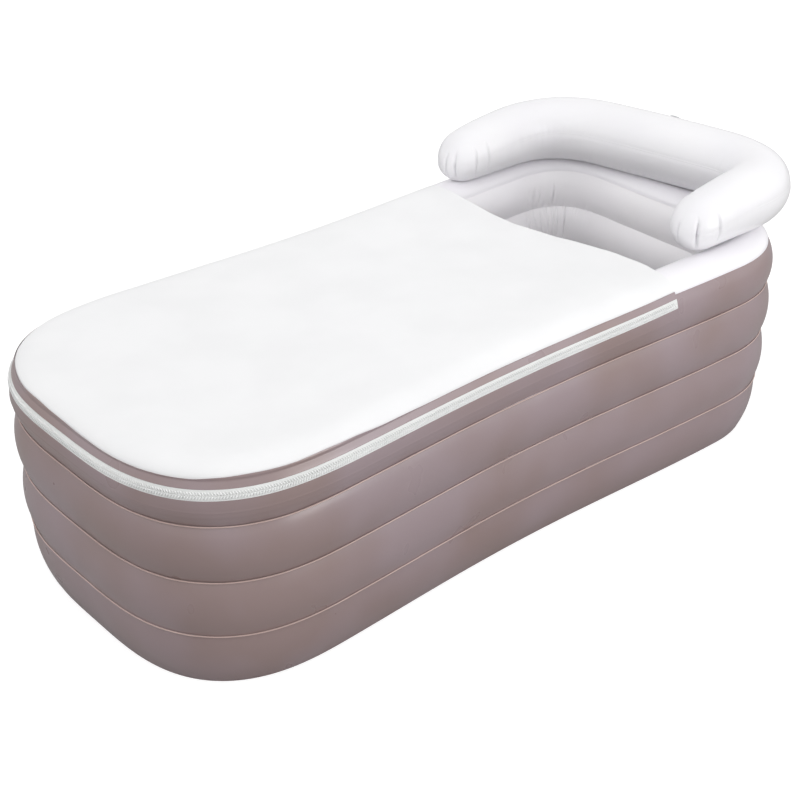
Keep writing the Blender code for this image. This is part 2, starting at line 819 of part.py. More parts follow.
def make_headrest_valve(film, spine):
    # On the upper film, behind the middle of the back
    middle = Vector(spine[len(spine) // 2])
    ahead = (Vector(spine[len(spine) // 2 + 1]) - Vector(spine[len(spine) // 2 - 1])).normalized()
    slope = math.radians(HEADREST_VALVE_DEGREES)
    direction = Vector((ahead.y * math.cos(slope), -ahead.x * math.cos(slope), math.sin(slope)))
    reach = HEADREST_BACK_RADIUS + 2 * GAP
    place = aimed(middle + direction * reach, direction)
    report("headrest valve at", place.translation)
    report("headrest valve axis", direction)
    cut(film, rod_cutter("headrest_valve_cutter", place, VALVE_NECK + GAP, 2 * VALVE_DEEP))
    make_valve("headrest_valve", place)


def make_drain(outer, inner):
    height = TIER_PITCH / 2
    reach = max(outer_at(height - DRAIN_FLANGE), outer_at(height), outer_at(height + DRAIN_FLANGE))
    out_face = HALF_LENGTH + reach + GAP
    in_face = HALF_LENGTH - WALL - INNER_BULGE - GAP
    length = out_face - in_face
    place = aimed((in_face, DRAIN_Y, height), (-1.0, 0.0, 0.0))
    outlet_place = aimed((out_face, DRAIN_Y, height), (1.0, 0.0, 0.0))
    report("drain outlet face", outlet_place.translation)
    bore = rod_cutter("drain_cutter", place, DRAIN_PIPE + GAP, 3 * length)
    cut(outer, bore)
    cut(inner, bore)
    thick = DRAIN_FLANGE_THICK
    spout = DRAIN_SPOUT
    turned("drain_pipe", [
        (DRAIN_FLANGE, thick), (DRAIN_FLANGE, 0.0), (DRAIN_PIPE, 0.0), (DRAIN_PIPE, GAP - length),
        (DRAIN_BORE, GAP - length), (DRAIN_BORE, thick)], WHITE, place)
    turned("drain_outlet", [
        (DRAIN_PIPE, spout), (DRAIN_PIPE, thick), (DRAIN_FLANGE, thick), (DRAIN_FLANGE, 0.0),
        (DRAIN_BORE, 0.0), (DRAIN_BORE, spout)], WHITE, outlet_place)
    sleeve = DRAIN_PIPE + GAP
    cap = sleeve + DRAIN_CAP_WALL
    lid = spout + GAP
    turned("drain_cap", [
        (0.0, lid + DRAIN_CAP_WALL), (cap, lid + DRAIN_CAP_WALL), (cap, thick + GAP), (sleeve, thick + GAP),
        (sleeve, lid), (0.0, lid)], GREY, outlet_place, closed=False)
    low = thick + GAP
    shaft = DRAIN_BORE - GAP
    head = DRAIN_PIPE + thick
    knob_top = low + thick + PLUG_KNOB_LONG
    turned("drain_plug", [
        (0.0, knob_top), (PLUG_KNOB, knob_top), (PLUG_KNOB, low + thick), (head, low + thick),
        (head, low), (shaft, low), (shaft, low - PLUG_LONG), (0.0, low - PLUG_LONG)],
        GREY, place, closed=False)
    make_strap("drain_strap", DRAIN_FLANGE - 2 * STRAP_WIRE, cap + GAP + STRAP_WIRE, low,
               lid, outlet_place)


clear_scene()
tub = make_collection("inflatable_bathtub")
cutters = make_collection("cutters")
make_base()
outer_wall, inner_wall = make_walls()
make_webs()
floor_sheet = make_floor()
make_cover()
make_zip()
make_stops()
make_slider()
headrest_film, headrest_spine = make_headrest()
make_wall_valve(outer_wall)
make_floor_valve(floor_sheet)
make_headrest_valve(headrest_film, headrest_spine)
make_drain(outer_wall, inner_wall)
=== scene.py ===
import math

import bmesh
import bpy
from mathutils import Matrix, Vector, noise


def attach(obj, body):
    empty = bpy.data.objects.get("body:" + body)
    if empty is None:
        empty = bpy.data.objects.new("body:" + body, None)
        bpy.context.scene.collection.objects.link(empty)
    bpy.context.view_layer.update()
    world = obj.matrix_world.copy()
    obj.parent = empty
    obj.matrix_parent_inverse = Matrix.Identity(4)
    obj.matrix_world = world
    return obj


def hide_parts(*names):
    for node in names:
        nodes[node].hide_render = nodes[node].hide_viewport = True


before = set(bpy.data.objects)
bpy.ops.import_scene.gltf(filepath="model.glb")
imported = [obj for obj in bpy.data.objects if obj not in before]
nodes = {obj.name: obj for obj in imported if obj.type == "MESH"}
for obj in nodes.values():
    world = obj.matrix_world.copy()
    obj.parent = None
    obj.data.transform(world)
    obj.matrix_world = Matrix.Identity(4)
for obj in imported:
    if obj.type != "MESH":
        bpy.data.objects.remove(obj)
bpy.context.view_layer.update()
print("frame loaded,", len(nodes), "nodes")


# camera where the photographer stood, in metres and radians
view = {"place": (-1.8907, -2.1307, 1.8484), "heading": 0.855, "tilt": -0.5311, "lens": 71.72}


def linkNew(name, data):
    piece = bpy.data.objects.new(name, data)
    bpy.context.scene.collection.objects.link(piece)
    return piece


def makeCamera():
    heading, tilt = view["heading"], view["tilt"]
    ahead = Vector((math.cos(tilt) * math.cos(heading), math.cos(tilt) * math.sin(heading), math.sin(tilt)))
    right = ahead.cross(Vector((0, 0, 1))).normalized()
    above = right.cross(ahead)
    data = bpy.data.cameras.new("camera")
    data.lens, data.sensor_width = view["lens"], 36
    camera = linkNew("camera", data)
    turn = Matrix((right, above, -ahead)).transposed().to_4x4()
    camera.matrix_world = Matrix.Translation(view["place"]) @ turn
    bpy.context.scene.camera = camera


makeCamera()


# small helpers for node trees and meshes

def linear(code):
    # sRGB hex to the linear colour that shaders want
    channels = []
    for start in (0, 2, 4):
        value = int(code.lstrip("#")[start:start + 2], 16) / 255
        channels.append(value / 12.92 if value <= 0.04045 else ((value + 0.055) / 1.055) ** 2.4)
    return (*channels, 1.0)


def addNode(tree, kind, links=None, **settings):
    node = tree.nodes.new(kind)
    for key, value in settings.items():
        setattr(node, key, value)
    for socket, value in (links or {}).items():
        if isinstance(value, bpy.types.NodeSocket):
            tree.links.new(value, node.inputs[socket])
        else:
            node.inputs[socket].default_value = value
    return node


def newTree(name, numbers):
    # its inputs are a geometry, the numbers with their defaults and a material called Finish
    tree = bpy.data.node_groups.new(name, "GeometryNodeTree")
    for way in ("OUTPUT", "INPUT"):
        tree.interface.new_socket("Geometry", in_out=way, socket_type="NodeSocketGeometry")
    for label, value in numbers.items():
        kind = "NodeSocketInt" if isinstance(value, int) else "NodeSocketFloat"
        tree.interface.new_socket(label, in_out="INPUT", socket_type=kind).default_value = value
    tree.interface.new_socket("Finish", in_out="INPUT", socket_type="NodeSocketMaterial")
    return tree


def addTree(piece, tree, values):
    # the inputs are set by their identifiers, before the piece is first evaluated
    modifier = piece.modifiers.new(tree.name, "NODES")
    modifier.node_group = tree
    for item in tree.interface.items_tree:
        if item.item_type == "SOCKET" and item.in_out == "INPUT" and item.name in values:
            modifier[item.identifier] = values[item.name]


def finishTree(tree, geometry, finish):
    whole = addNode(tree, "GeometryNodeRealizeInstances", {"Geometry": geometry}).outputs[0]
    done = addNode(tree, "GeometryNodeSetMaterial", {"Geometry": whole, "Material": finish}).outputs[0]
    addNode(tree, "NodeGroupOutput", {"Geometry": done})


def newPiece(name, mesh, material=None):
    if material:
        mesh.materials.append(material)
    return linkNew(name, mesh)


def meshFrom(work, name):
    mesh = bpy.data.meshes.new(name)
    work.to_mesh(mesh)
    work.free()
    return mesh


def addLayers(work, *names):
    return [work.verts.layers.float.new(name) for name in names]


def addQuads(work, grid, flip=False, closed=False):
    # faces between neighbouring rows of points; closed joins the last row to the first
    for first, second in zip(grid, grid[1:] + (grid[:1] if closed else [])):
        for low in range(len(first) - 1):
            face = (first[low], first[low + 1], second[low + 1], second[low])
            work.faces.new(face[::-1] if flip else face)


def bake(piece, sharp=40):
    # what the modifiers make becomes the piece's own plain mesh
    depsgraph = bpy.context.evaluated_depsgraph_get()
    mesh = bpy.data.meshes.new_from_object(piece.evaluated_get(depsgraph))
    piece.modifiers.clear()
    piece.data = mesh
    mesh.name = piece.name
    mesh.shade_smooth()
    mesh.set_sharp_from_angle(angle=math.radians(sharp))
    return piece


def place(piece, body, slot, *replaced):
    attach(piece, body)
    if replaced:
        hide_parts(*replaced)
    return piece


def addFilm(piece, thickness, side=-1):
    # thickness in metres, grown inwards at side -1 and outwards at side 1
    film = piece.modifiers.new("film", "SOLIDIFY")
    film.thickness, film.offset, film.use_even_offset = thickness, side, False


# materials

def tinted(tree, point, low, high, size):
    # two near colours drifting into each other over the given size in metres
    drift = addNode(tree, "ShaderNodeTexNoise", {"Vector": point, "Scale": 1 / size, "Detail": 2})
    share = addNode(tree, "ShaderNodeMapRange", {"Value": drift.outputs["Fac"], "From Min": 0.35, "From Max": 0.65})
    mix = addNode(tree, "ShaderNodeMix", {0: share.outputs[0], 6: linear(low), 7: linear(high)}, data_type="RGBA")
    return mix.outputs[2]


def emptyTree(owner):
    owner.use_nodes = True
    owner.node_tree.nodes.clear()
    return owner.node_tree


def newMaterial(name, low, high, size, settings):
    material = bpy.data.materials.new(name)
    tree = emptyTree(material)
    point = addNode(tree, "ShaderNodeTexCoord").outputs["Object"]
    shader = addNode(tree, "ShaderNodeBsdfPrincipled", {"Base Color": tinted(tree, point, low, high, size), **settings})
    addNode(tree, "ShaderNodeOutputMaterial", {"Surface": shader.outputs["BSDF"]})
    return material, tree, shader, point


def addGrain(tree, shader, point, size, distance, strength):
    # a fine pebble, size and distance in metres; a real one is finer still, and wouldn't show
    grain = addNode(tree, "ShaderNodeTexNoise", {"Vector": point, "Scale": 1 / size, "Detail": 3}).outputs["Fac"]
    bump = addNode(tree, "ShaderNodeBump", {"Height": grain, "Distance": distance, "Strength": strength})
    tree.links.new(bump.outputs["Normal"], shader.inputs["Normal"])


def filmMaterial(name, low, high, roughness, grainSize, coat=0.0, milky=0.0):
    # calendered PVC film: smooth, with a faint pebble that breaks the highlights up; milky lets light through
    material, tree, shader, point = newMaterial(name, low, high, 0.22, {
        "Subsurface Weight": milky, "Subsurface Radius": (1.0, 0.97, 1.0), "Subsurface Scale": 0.03, "IOR": 1.53,
        "Coat Weight": coat, "Coat Roughness": 0.25})
    cloud = addNode(tree, "ShaderNodeTexNoise", {"Vector": point, "Scale": 1 / 0.09, "Detail": 2})
    rough = addNode(tree, "ShaderNodeMapRange", {
        "Value": cloud.outputs["Fac"], "From Min": 0.3, "From Max": 0.7,
        "To Min": roughness - 0.04, "To Max": roughness + 0.04})
    tree.links.new(rough.outputs["Result"], shader.inputs["Roughness"])
    addGrain(tree, shader, point, grainSize, 0.0002, 0.15)
    return material


def wovenMaterial(name, low, high, roughness, thread, height):
    # plain weave: rows of threads both ways, seen as a soft tooth; real threads are finer, and wouldn't show
    material, tree, shader, point = newMaterial(name, low, high, 0.12, {"Roughness": roughness, "Sheen Weight": 0.15})
    weave = None
    for direction in ("X", "Y", "Z"):
        # a band of the wave is 0.314 of its scale wide
        wave = addNode(tree, "ShaderNodeTexWave", {"Vector": point, "Scale": 0.314 / thread},
                       bands_direction=direction).outputs["Fac"]
        weave = addNode(tree, "ShaderNodeMath", {0: weave, 1: wave}, operation="ADD").outputs[0] if weave else wave
    bump = addNode(tree, "ShaderNodeBump", {"Height": weave, "Distance": height, "Strength": 0.5})
    tree.links.new(bump.outputs["Normal"], shader.inputs["Normal"])
    return material


def mouldedMaterial(name, low, high, roughness, clear=0.0):
    # injection-moulded plastic: even colour, a slight orange peel
    material, tree, shader, point = newMaterial(name, low, high, 0.012, {
        "Roughness": roughness, "IOR": 1.49, "Transmission Weight": clear})
    addGrain(tree, shader, point, 0.0015, 0.00005, 0.4)
    return material


def metalMaterial(name, low, high, roughness):
    # nickel plating over zinc: bright, with faint brushing along the part
    material, tree, shader, point = newMaterial(name, low, high, 0.006, {"Metallic": 1.0, "Roughness": roughness})
    streak = addNode(tree, "ShaderNodeMapping", {"Vector": point, "Scale": (300, 300, 3000)})
    brushed = addNode(tree, "ShaderNodeTexNoise", {"Vector": streak.outputs["Vector"], "Scale": 1.0})
    bump = addNode(tree, "ShaderNodeBump", {"Height": brushed.outputs["Fac"], "Distance": 0.00003, "Strength": 0.4})
    tree.links.new(bump.outputs["Normal"], shader.inputs["Normal"])
    return material


taupeFilm = filmMaterial("taupe PVC film", "#937F7D", "#9B8A8E", 0.31, 0.0016, coat=0.3)
whiteFilm = filmMaterial("white PVC film", "#F3F1F5", "#F6F4F8", 0.36, 0.0016, coat=0.15)
glossFilm = filmMaterial("white gloss PVC film", "#EEEDF0", "#F2F1F3", 0.34, 0.0012, coat=0.3, milky=0.3)
# the same white film painted lighter for the bath's inside walls and floor: painted light that stands in for the light
# the shaded hollow lacks
paintedLightInsideFilm = filmMaterial("white PVC film, painted lighter inside", "#FAF8FB", "#FCFAFC", 0.36, 0.0016, coat=0.15)
coatedSheet = wovenMaterial("white coated cover cloth", "#F0F0F1", "#F3F3F4", 0.55, 0.0012, 0.00008)
peachWeld = filmMaterial("peach weld line", "#BDA59F", "#C9B2AC", 0.42, 0.0010)
# the tape is a little darker than the coil: partly its own tone, partly painted shade so the gaps between the teeth
# read darker
zipCloth = wovenMaterial("woven polyester zip tape", "#E4E5E4", "#EAEBEA", 0.75, 0.0011, 0.00015)
nylonCoil = mouldedMaterial("nylon zip coil", "#F6F7F6", "#FAFAFA", 0.42)
nickelPlate = metalMaterial("nickel plated zinc", "#C9C8C5", "#D6D5D2", 0.28)
milkyVinyl = mouldedMaterial("milky soft vinyl", "#E4E7E8", "#EEF0F0", 0.32, clear=0.25)
whitePlastic = mouldedMaterial("white moulded plastic", "#ECECEC", "#F1F1F1", 0.35)
greyPlastic = mouldedMaterial("grey moulded plastic", "#9B9594", "#A39D9C", 0.45)
print("materials made")


# plan of the tub, seen from above

plan = {
    "halfLength": 0.7985, "halfWidth": 0.366, "footCorner": 0.345, "headCorner": 0.229,
    "footPower": 2.9, "headPower": 2.3, "waist": 0.0198, "waistX": -0.0235, "waistReach": 0.62,
    "look": 0.012, "sharpest": 4.2,
}


def waistShare(x):
    reach = min(1.0, abs(x - plan["waistX"]) / plan["waistReach"])
    return 1 - plan["waist"] / plan["halfWidth"] * math.cos(math.pi / 2 * reach) ** 2


def finePlan(steps=400):
    # one fine closed run: head end, near side, foot end, far side
    length, width = plan["halfLength"], plan["halfWidth"]
    head, foot = plan["headCorner"], plan["footCorner"]
    shares = [math.pi / 2 * step / steps for step in range(steps + 1)]
    across = [(math.cos(turn) ** (2 / plan["headPower"]), math.sin(turn) ** (2 / plan["headPower"])) for turn in shares]
    near = [(length - head + head * x, head - width - head * y) for x, y in across]
    start, end = length - head, foot - length
    near += [(start + (end - start) * step / steps, -width) for step in range(1, steps)]
    across = [(math.sin(turn) ** (2 / plan["footPower"]), math.cos(turn) ** (2 / plan["footPower"])) for turn in shares]
    near += [(foot - length - foot * x, foot - width - foot * y) for x, y in across]
    near = [Vector((x, y * waistShare(x))) for x, y in near]
    return near + [Vector((p.x, -p.y)) for p in reversed(near[1:-1])]


planPoints = finePlan()
planLengths = [0.0]
for index, point in enumerate(planPoints):
    planLengths.append(planLengths[-1] + (planPoints[(index + 1) % len(planPoints)] - point).length)
planAround = planLengths[-1]


def planAt(along):
    # point on the plan at a distance round it
    along %= planAround
    low, high = 0, len(planPoints)
    while high - low > 1:
        middle = (low + high) // 2
        low, high = (middle, high) if planLengths[middle] <= along else (low, middle)
    share = (along - planLengths[low]) / (planLengths[low + 1] - planLengths[low])
    return planPoints[low].lerp(planPoints[(low + 1) % len(planPoints)], share)


def station(along):
    # place, outward direction and how sharply the plan turns there
    here = planAt(along)
    ahead, behind = planAt(along + plan["look"]), planAt(along - plan["look"])
    travel = (ahead - behind).normalized()
    bend = (ahead - here).angle(here - behind) / plan["look"]
    return {"point": here, "out": Vector((-travel.y, travel.x)), "along": along,
            "corner": min(1.0, bend / plan["sharpest"])}


def stations(coarse, fine, start=0.0, end=None):
    # stations from start to end, closer together where the plan turns
    closed = end is None
    end = planAround if closed else end
    found, along = [], start
    while along < end - fine / 2:
        found.append(station(along))
        along += coarse + (fine - coarse) * found[-1]["corner"]
    if not closed:
        found.append(station(end))
    return found


def alongAtX(x, near):
    # distance round the plan where the near or far side passes x
    half = planAround / 2
    low, high = (0.1, half) if near else (half, planAround - 0.1)
    for _ in range(40):
        middle = (low + high) / 2
        low, high = (middle, high) if (planAt(middle).x > x) == near else (low, middle)
    return (low + high) / 2


def ripple(along, seed, reach):
    # smooth noise that joins up with itself round the tub
    turn = 2 * math.pi * along / planAround
    size = planAround / (2 * math.pi * reach)
    return noise.noise(Vector((size * math.cos(turn), size * math.sin(turn), 3.7 * seed)))


# wall section

wall = {
    "pitch": 0.1143, "thick": 0.1007, "topTier": 0.0878, "rimTuck": 0.004, "rimRise": 0.0236, "baseTuck": 0.018,
    "outerBulges": (0.008, 0.0105, 0.013, 0.012), "innerBulges": (0.018, 0.018, 0.018, 0.012),
    "film": 0.0005, "baseTop": 0.0008, "gap": 0.0003, "steps": 14, "seamWander": 0.0011,
    "bulgeWander": 0.05, "bulgeReach": 0.3,
}
topSeam = 3 * wall["pitch"]
rimZ = topSeam + wall["topTier"]
crestZ = rimZ + wall["rimRise"]


def seamHeight(index, along):
    if index == 0:
        return wall["baseTop"]
    if index == 4:
        return rimZ
    wander = ripple(along, index, 0.21) + 0.4 * ripple(along, index + 5, 0.05)
    return wall["pitch"] * index + wall["seamWander"] * wander


def bulgeAt(bulges, tier, along, seed):
    return bulges[tier] * (1 + wall["bulgeWander"] * ripple(along, tier + seed, wall["bulgeReach"]))


def bow(start, end, bulge, share):
    # a point on the round bow between two welds, out and up
    chord = math.dist(start, end)
    radius = (chord ** 2 / 4 + bulge ** 2) / (2 * bulge)
    half = math.asin(chord / 2 / radius)
    turn = half * (2 * share - 1)
    alongX, alongY = (end[0] - start[0]) / chord, (end[1] - start[1]) / chord
    rise, lift = radius * math.sin(turn), radius * math.cos(turn) - radius + bulge
    middleX, middleY = (start[0] + end[0]) / 2, (start[1] + end[1]) / 2
    return middleX + alongX * rise + alongY * lift, middleY + alongY * rise - alongX * lift


# places of the pleats, as distances round the plan from the middle of the head end, with their depths
pleats = {
    3: ((0.6575, 0.0022), (0.6305, 0.0040), (0.6025, 0.0046), (0.5775, 0.0038), (0.5025, 0.0064)),
    2: ((0.6305, 0.0050), (0.6160, 0.0040), (0.5965, 0.0034), (0.5655, 0.0052), (0.5325, 0.0044),
        (0.5025, 0.0040), (0.4785, 0.0036), (0.4345, 0.0072)),
    "width": 0.0040, "footShift": 0.23, "lean": 0.005, "tierShift": 0.006,
    "topSpan": (0.04, 0.66), "lowerSpan": (0.36, 0.985),
}


def pleatDepth(tier, share, along):
    # narrow folds at the corners: low on the top tier, high on the tiers below it
    half = planAround / 2
    if abs(along - half) < half / 2:
        place = abs(along - half) + pleats["footShift"]
    else:
        place = min(along, planAround - along)
    low, high = pleats["topSpan"] if tier == 3 else pleats["lowerSpan"]
    if not low < share < high:
        return 0.0
    window = math.sin(math.pi * (share - low) / (high - low)) ** 0.7
    lean = pleats["lean"] * (share - 0.5) - (pleats["tierShift"] * (2 - tier) if tier < 2 else 0)
    deep = 0.0
    for spot, depth in pleats[3 if tier == 3 else 2]:
        off = abs(place + lean - spot) / pleats["width"]
        if off < 3:
            deep += depth * math.exp(-off ** 1.4)
    return deep * window


def wallColumn(here, inner):
    # (out, up, gather, pleat) from the base to the rim at one station
    along = here["along"]
    column = []
    for tier in range(4):
        low, high = seamHeight(tier, along), seamHeight(tier + 1, along)
        if inner:
            start = (wall["thick"], low)
            end = (wall["thick"] - (wall["rimTuck"] if tier == 3 else 0), high)
            bulge = bulgeAt(wall["innerBulges"], tier, along, 20)
        else:
            start = (-wall["baseTuck"] if tier == 0 else 0.0, low)
            end = (-wall["rimTuck"] if tier == 3 else 0.0, high)
            bulge = bulgeAt(wall["outerBulges"], tier, along, 10)
        for step in range(wall["steps"] + (tier == 3)):
            share = step / wall["steps"]
            out, up = bow(start, end, bulge, share)
            gather = abs(2 * share - 1) ** (1.6 if inner else 5)
            if tier == 3 and share > 0.5:
                gather = 0.0
            pleat = pleatDepth(tier, share, along) if inner else 0.0
            column.append((-out if inner else out, up, gather * here["corner"], pleat))
    return column


def pointAt(here, out, up):
    spot = here["point"] + here["out"] * out
    return Vector((spot.x, spot.y, up))


def filmMesh(name, line, columnOf, closed=True, flip=False):
    # a grid of columns round the plan, with what the wrinkles need as attributes
    work = bmesh.new()
    layers = addLayers(work, "along", "gather", "pleat")
    grid = []
    for here in line:
        column = []
        for out, up, *shaping in columnOf(here):
            column.append(work.verts.new(pointAt(here, out, up)))
            for layer, value in zip(layers, (here["along"], *shaping)):
                column[-1][layer] = value
        grid.append(column)
    addQuads(work, grid, flip, closed)
    return meshFrom(work, name)


def wrinkleTree():
    # creases along one direction where the film gathers, and a soft unevenness all over
    tree = newTree("wrinkles", {
        "Crease Depth": 0.003, "Crease Spacing": 0.014, "Crease Sharpness": 1.5,
        "Soft Depth": 0.0005, "Soft Spacing": 0.07, "Seed": 0.0})
    given = addNode(tree, "NodeGroupInput").outputs
    along, gather, pleat = [
        addNode(tree, "GeometryNodeInputNamedAttribute", {"Name": name}, data_type="FLOAT").outputs[0]
        for name in ("along", "gather", "pleat")]
    spaced = addNode(tree, "ShaderNodeMath", {0: along, 1: given["Crease Spacing"]}, operation="DIVIDE").outputs[0]
    shifted = addNode(tree, "ShaderNodeMath", {0: spaced, 1: given["Seed"]}, operation="ADD").outputs[0]
    lines = addNode(tree, "ShaderNodeTexNoise", {"W": shifted, "Scale": 1.0, "Detail": 0.0}, noise_dimensions="1D")
    narrow = addNode(tree, "ShaderNodeMapRange", {"Value": lines.outputs[0], "From Min": 0.46, "From Max": 0.78})
    depth = addNode(tree, "ShaderNodeMath", {0: gather, 1: given["Crease Depth"]}, operation="MULTIPLY").outputs[0]
    crease = narrow.outputs[0]
    for operation, other in (("POWER", given["Crease Sharpness"]), ("MULTIPLY", depth)):
        crease = addNode(tree, "ShaderNodeMath", {0: crease, 1: other}, operation=operation).outputs[0]
    where = addNode(tree, "GeometryNodeInputPosition").outputs[0]
    inverse = addNode(tree, "ShaderNodeMath", {0: 1.0, 1: given["Soft Spacing"]}, operation="DIVIDE").outputs[0]
    wide = addNode(tree, "ShaderNodeVectorMath", {0: where, "Scale": inverse}, operation="SCALE").outputs[0]
    move = addNode(tree, "ShaderNodeTexNoise", {"Vector": wide, "Scale": 1.0, "Detail": 1.0}).outputs[0]
    for operation, other in (("SUBTRACT", 0.5), ("MULTIPLY", given["Soft Depth"]), ("SUBTRACT", crease),
                             ("SUBTRACT", pleat)):
        move = addNode(tree, "ShaderNodeMath", {0: move, 1: other}, operation=operation).outputs[0]
    normal = addNode(tree, "GeometryNodeInputNormal").outputs[0]
    offset = addNode(tree, "ShaderNodeVectorMath", {0: normal, "Scale": move}, operation="SCALE")
    moved = addNode(tree, "GeometryNodeSetPosition", {
        "Geometry": given["Geometry"], "Offset": offset.outputs[0]}).outputs[0]
    finishTree(tree, moved, given["Finish"])
    return tree


wrinkles = wrinkleTree()


def filmPiece(name, mesh, values, thickness=wall["film"], side=-1, sharp=40):
    # a wrinkled surface with the film's thickness
    piece = newPiece(name, mesh)
    addTree(piece, wrinkles, values)
    addFilm(piece, thickness, side)
    return bake(piece, sharp)


# the outer wall's four tiers

outerWrinkles = {
    "Crease Depth": 0.0007, "Crease Spacing": 0.012, "Crease Sharpness": 1.3,
    "Soft Depth": 0.0024, "Soft Spacing": 0.11, "Seed": 3.0, "Finish": taupeFilm,
}
wallLine = stations(0.012, 0.005)
outerWall = filmPiece("outerWall", filmMesh("outerWall", wallLine, lambda here: wallColumn(here, False)),
                      outerWrinkles)
place(outerWall, "tub", "taupe_film", "outer_wall_film")
print("outer wall made,", len(outerWall.data.polygons), "faces")


# the white walls round the bath

# the inner walls take the white film painted lighter, painted light for the shaded bath
innerWrinkles = {
    "Crease Depth": 0.0014, "Crease Spacing": 0.011, "Crease Sharpness": 1.2,
    "Soft Depth": 0.003, "Soft Spacing": 0.09, "Seed": 1.0, "Finish": paintedLightInsideFilm,
}
innerLine = stations(0.014, 0.0019)
innerWall = filmPiece("innerWall", filmMesh("innerWall", innerLine, lambda here: wallColumn(here, True), flip=True),
                      innerWrinkles)
place(innerWall, "tub", "white_film", "inner_wall_film")
print("inner wall made,", len(innerWall.data.polygons), "faces")


# the rim's white film and its welds

rim = {"steps": 20, "middle": -wall["thick"] / 2, "half": (wall["thick"] - 2 * wall["rimTuck"]) / 2}


def rimPoint(turn, grow=0.0):
    # half an oval over the wall, grown by what lies on it
    out = rim["middle"] + (rim["half"] + grow) * math.cos(turn)
    return out, rimZ + wall["gap"] + (wall["rimRise"] + grow - wall["gap"]) * math.sin(turn)


def rimColumn(_):
    return [(*rimPoint(math.pi * step / rim["steps"]), 0.0, 0.0) for step in range(rim["steps"] + 1)]


rimFilm = filmPiece("rimFilm", filmMesh("rimFilm", wallLine, rimColumn), {
    "Crease Depth": 0.0, "Soft Depth": 0.001, "Soft Spacing": 0.16, "Finish": whiteFilm})
place(rimFilm, "tub", "white_film", "rim_film")
print("rim made")


def beadTree():
    # a thin welded bead that follows a line of points
    tree = newTree("bead", {"Radius": 0.001, "Sides": 8})
    given = addNode(tree, "NodeGroupInput").outputs
    curve = addNode(tree, "GeometryNodeMeshToCurve", {"Mesh": given["Geometry"]}).outputs[0]
    ring = addNode(tree, "GeometryNodeCurvePrimitiveCircle", {
        "Resolution": given["Sides"], "Radius": given["Radius"]}).outputs[0]
    tube = addNode(tree, "GeometryNodeCurveToMesh", {"Curve": curve, "Profile Curve": ring, "Fill Caps": True})
    finishTree(tree, tube.outputs[0], given["Finish"])
    return tree


def lineMesh(name, points, closed):
    mesh = bpy.data.meshes.new(name)
    edges = [(first, first + 1) for first in range(len(points) - 1)] + ([(len(points) - 1, 0)] if closed else [])
    mesh.from_pydata([tuple(point) for point in points], edges, [])
    return mesh


beads = beadTree()


def makeBead(name, points, closed, radius, finish, sides=8):
    bead = newPiece(name, lineMesh(name, points, closed))
    addTree(bead, beads, {"Radius": radius, "Sides": sides, "Finish": finish})
    return bake(bead, 60)


# peach weld lines in the grooves

weldLine = {"radius": 0.0014, "out": 0.0024}
for index in (1, 2, 3):
    points = [pointAt(here, weldLine["out"], seamHeight(index, here["along"])) for here in stations(0.008, 0.005)]
    weld = makeBead("weldLine%d" % index, points, True, weldLine["radius"], peachWeld)
    place(weld, "tub", "peach_weld", "weld_line_%d" % index)
rimWeldPoints = [pointAt(here, wall["rimTuck"] - wall["thick"] - 0.0002, rimZ) for here in wallLine]
place(makeBead("rimWeld", rimWeldPoints, True, 0.0007, whiteFilm, 6), "tub", "white_film")
print("weld lines made")


# the bottom film

def flatFilm(name, inset, bottom, thickness, finish):
    # a flat film with the plan's outline, drawn in by the inset
    work = bmesh.new()
    line = stations(0.02, 0.01)
    low = [work.verts.new(pointAt(here, -inset, bottom)) for here in line]
    high = [work.verts.new(pointAt(here, -inset, bottom + thickness)) for here in line]
    work.faces.new(low)
    work.faces.new(high)
    for index in range(len(low)):
        other = (index + 1) % len(low)
        work.faces.new((low[index], high[index], high[other], low[other]))
    bmesh.ops.recalc_face_normals(work, faces=work.faces)
    return bake(newPiece(name, meshFrom(work, name), finish))


baseFilm = flatFilm("baseFilm", wall["baseTuck"], 0.0, wall["film"], taupeFilm)
place(baseFilm, "tub", "taupe_film", "base_film")


# inflated floor, welded into channels

pad = {"edge": 0.1347, "endRound": 0.05, "height": 0.046, "channels": 9, "across": 44, "steps": 200,
       "flange": 0.1035, "lowerFilm": 0.0003}
pad["halfLong"] = plan["halfLength"] - pad["edge"] - pad["endRound"] / 2


def halfWidthAt(x, inset):
    # half the width of the plan at x, drawn in all round by the inset
    width, length = plan["halfWidth"] - inset, plan["halfLength"] - inset
    for size, power, ahead in ((plan["footCorner"] - inset, plan["footPower"], -x),
                               (plan["headCorner"] - inset, plan["headPower"], x)):
        into = (ahead - (length - size)) / size
        if into > 0:
            width = width - size + size * (1 - min(1.0, into) ** power) ** (1 / power)
    return width * waistShare(x)


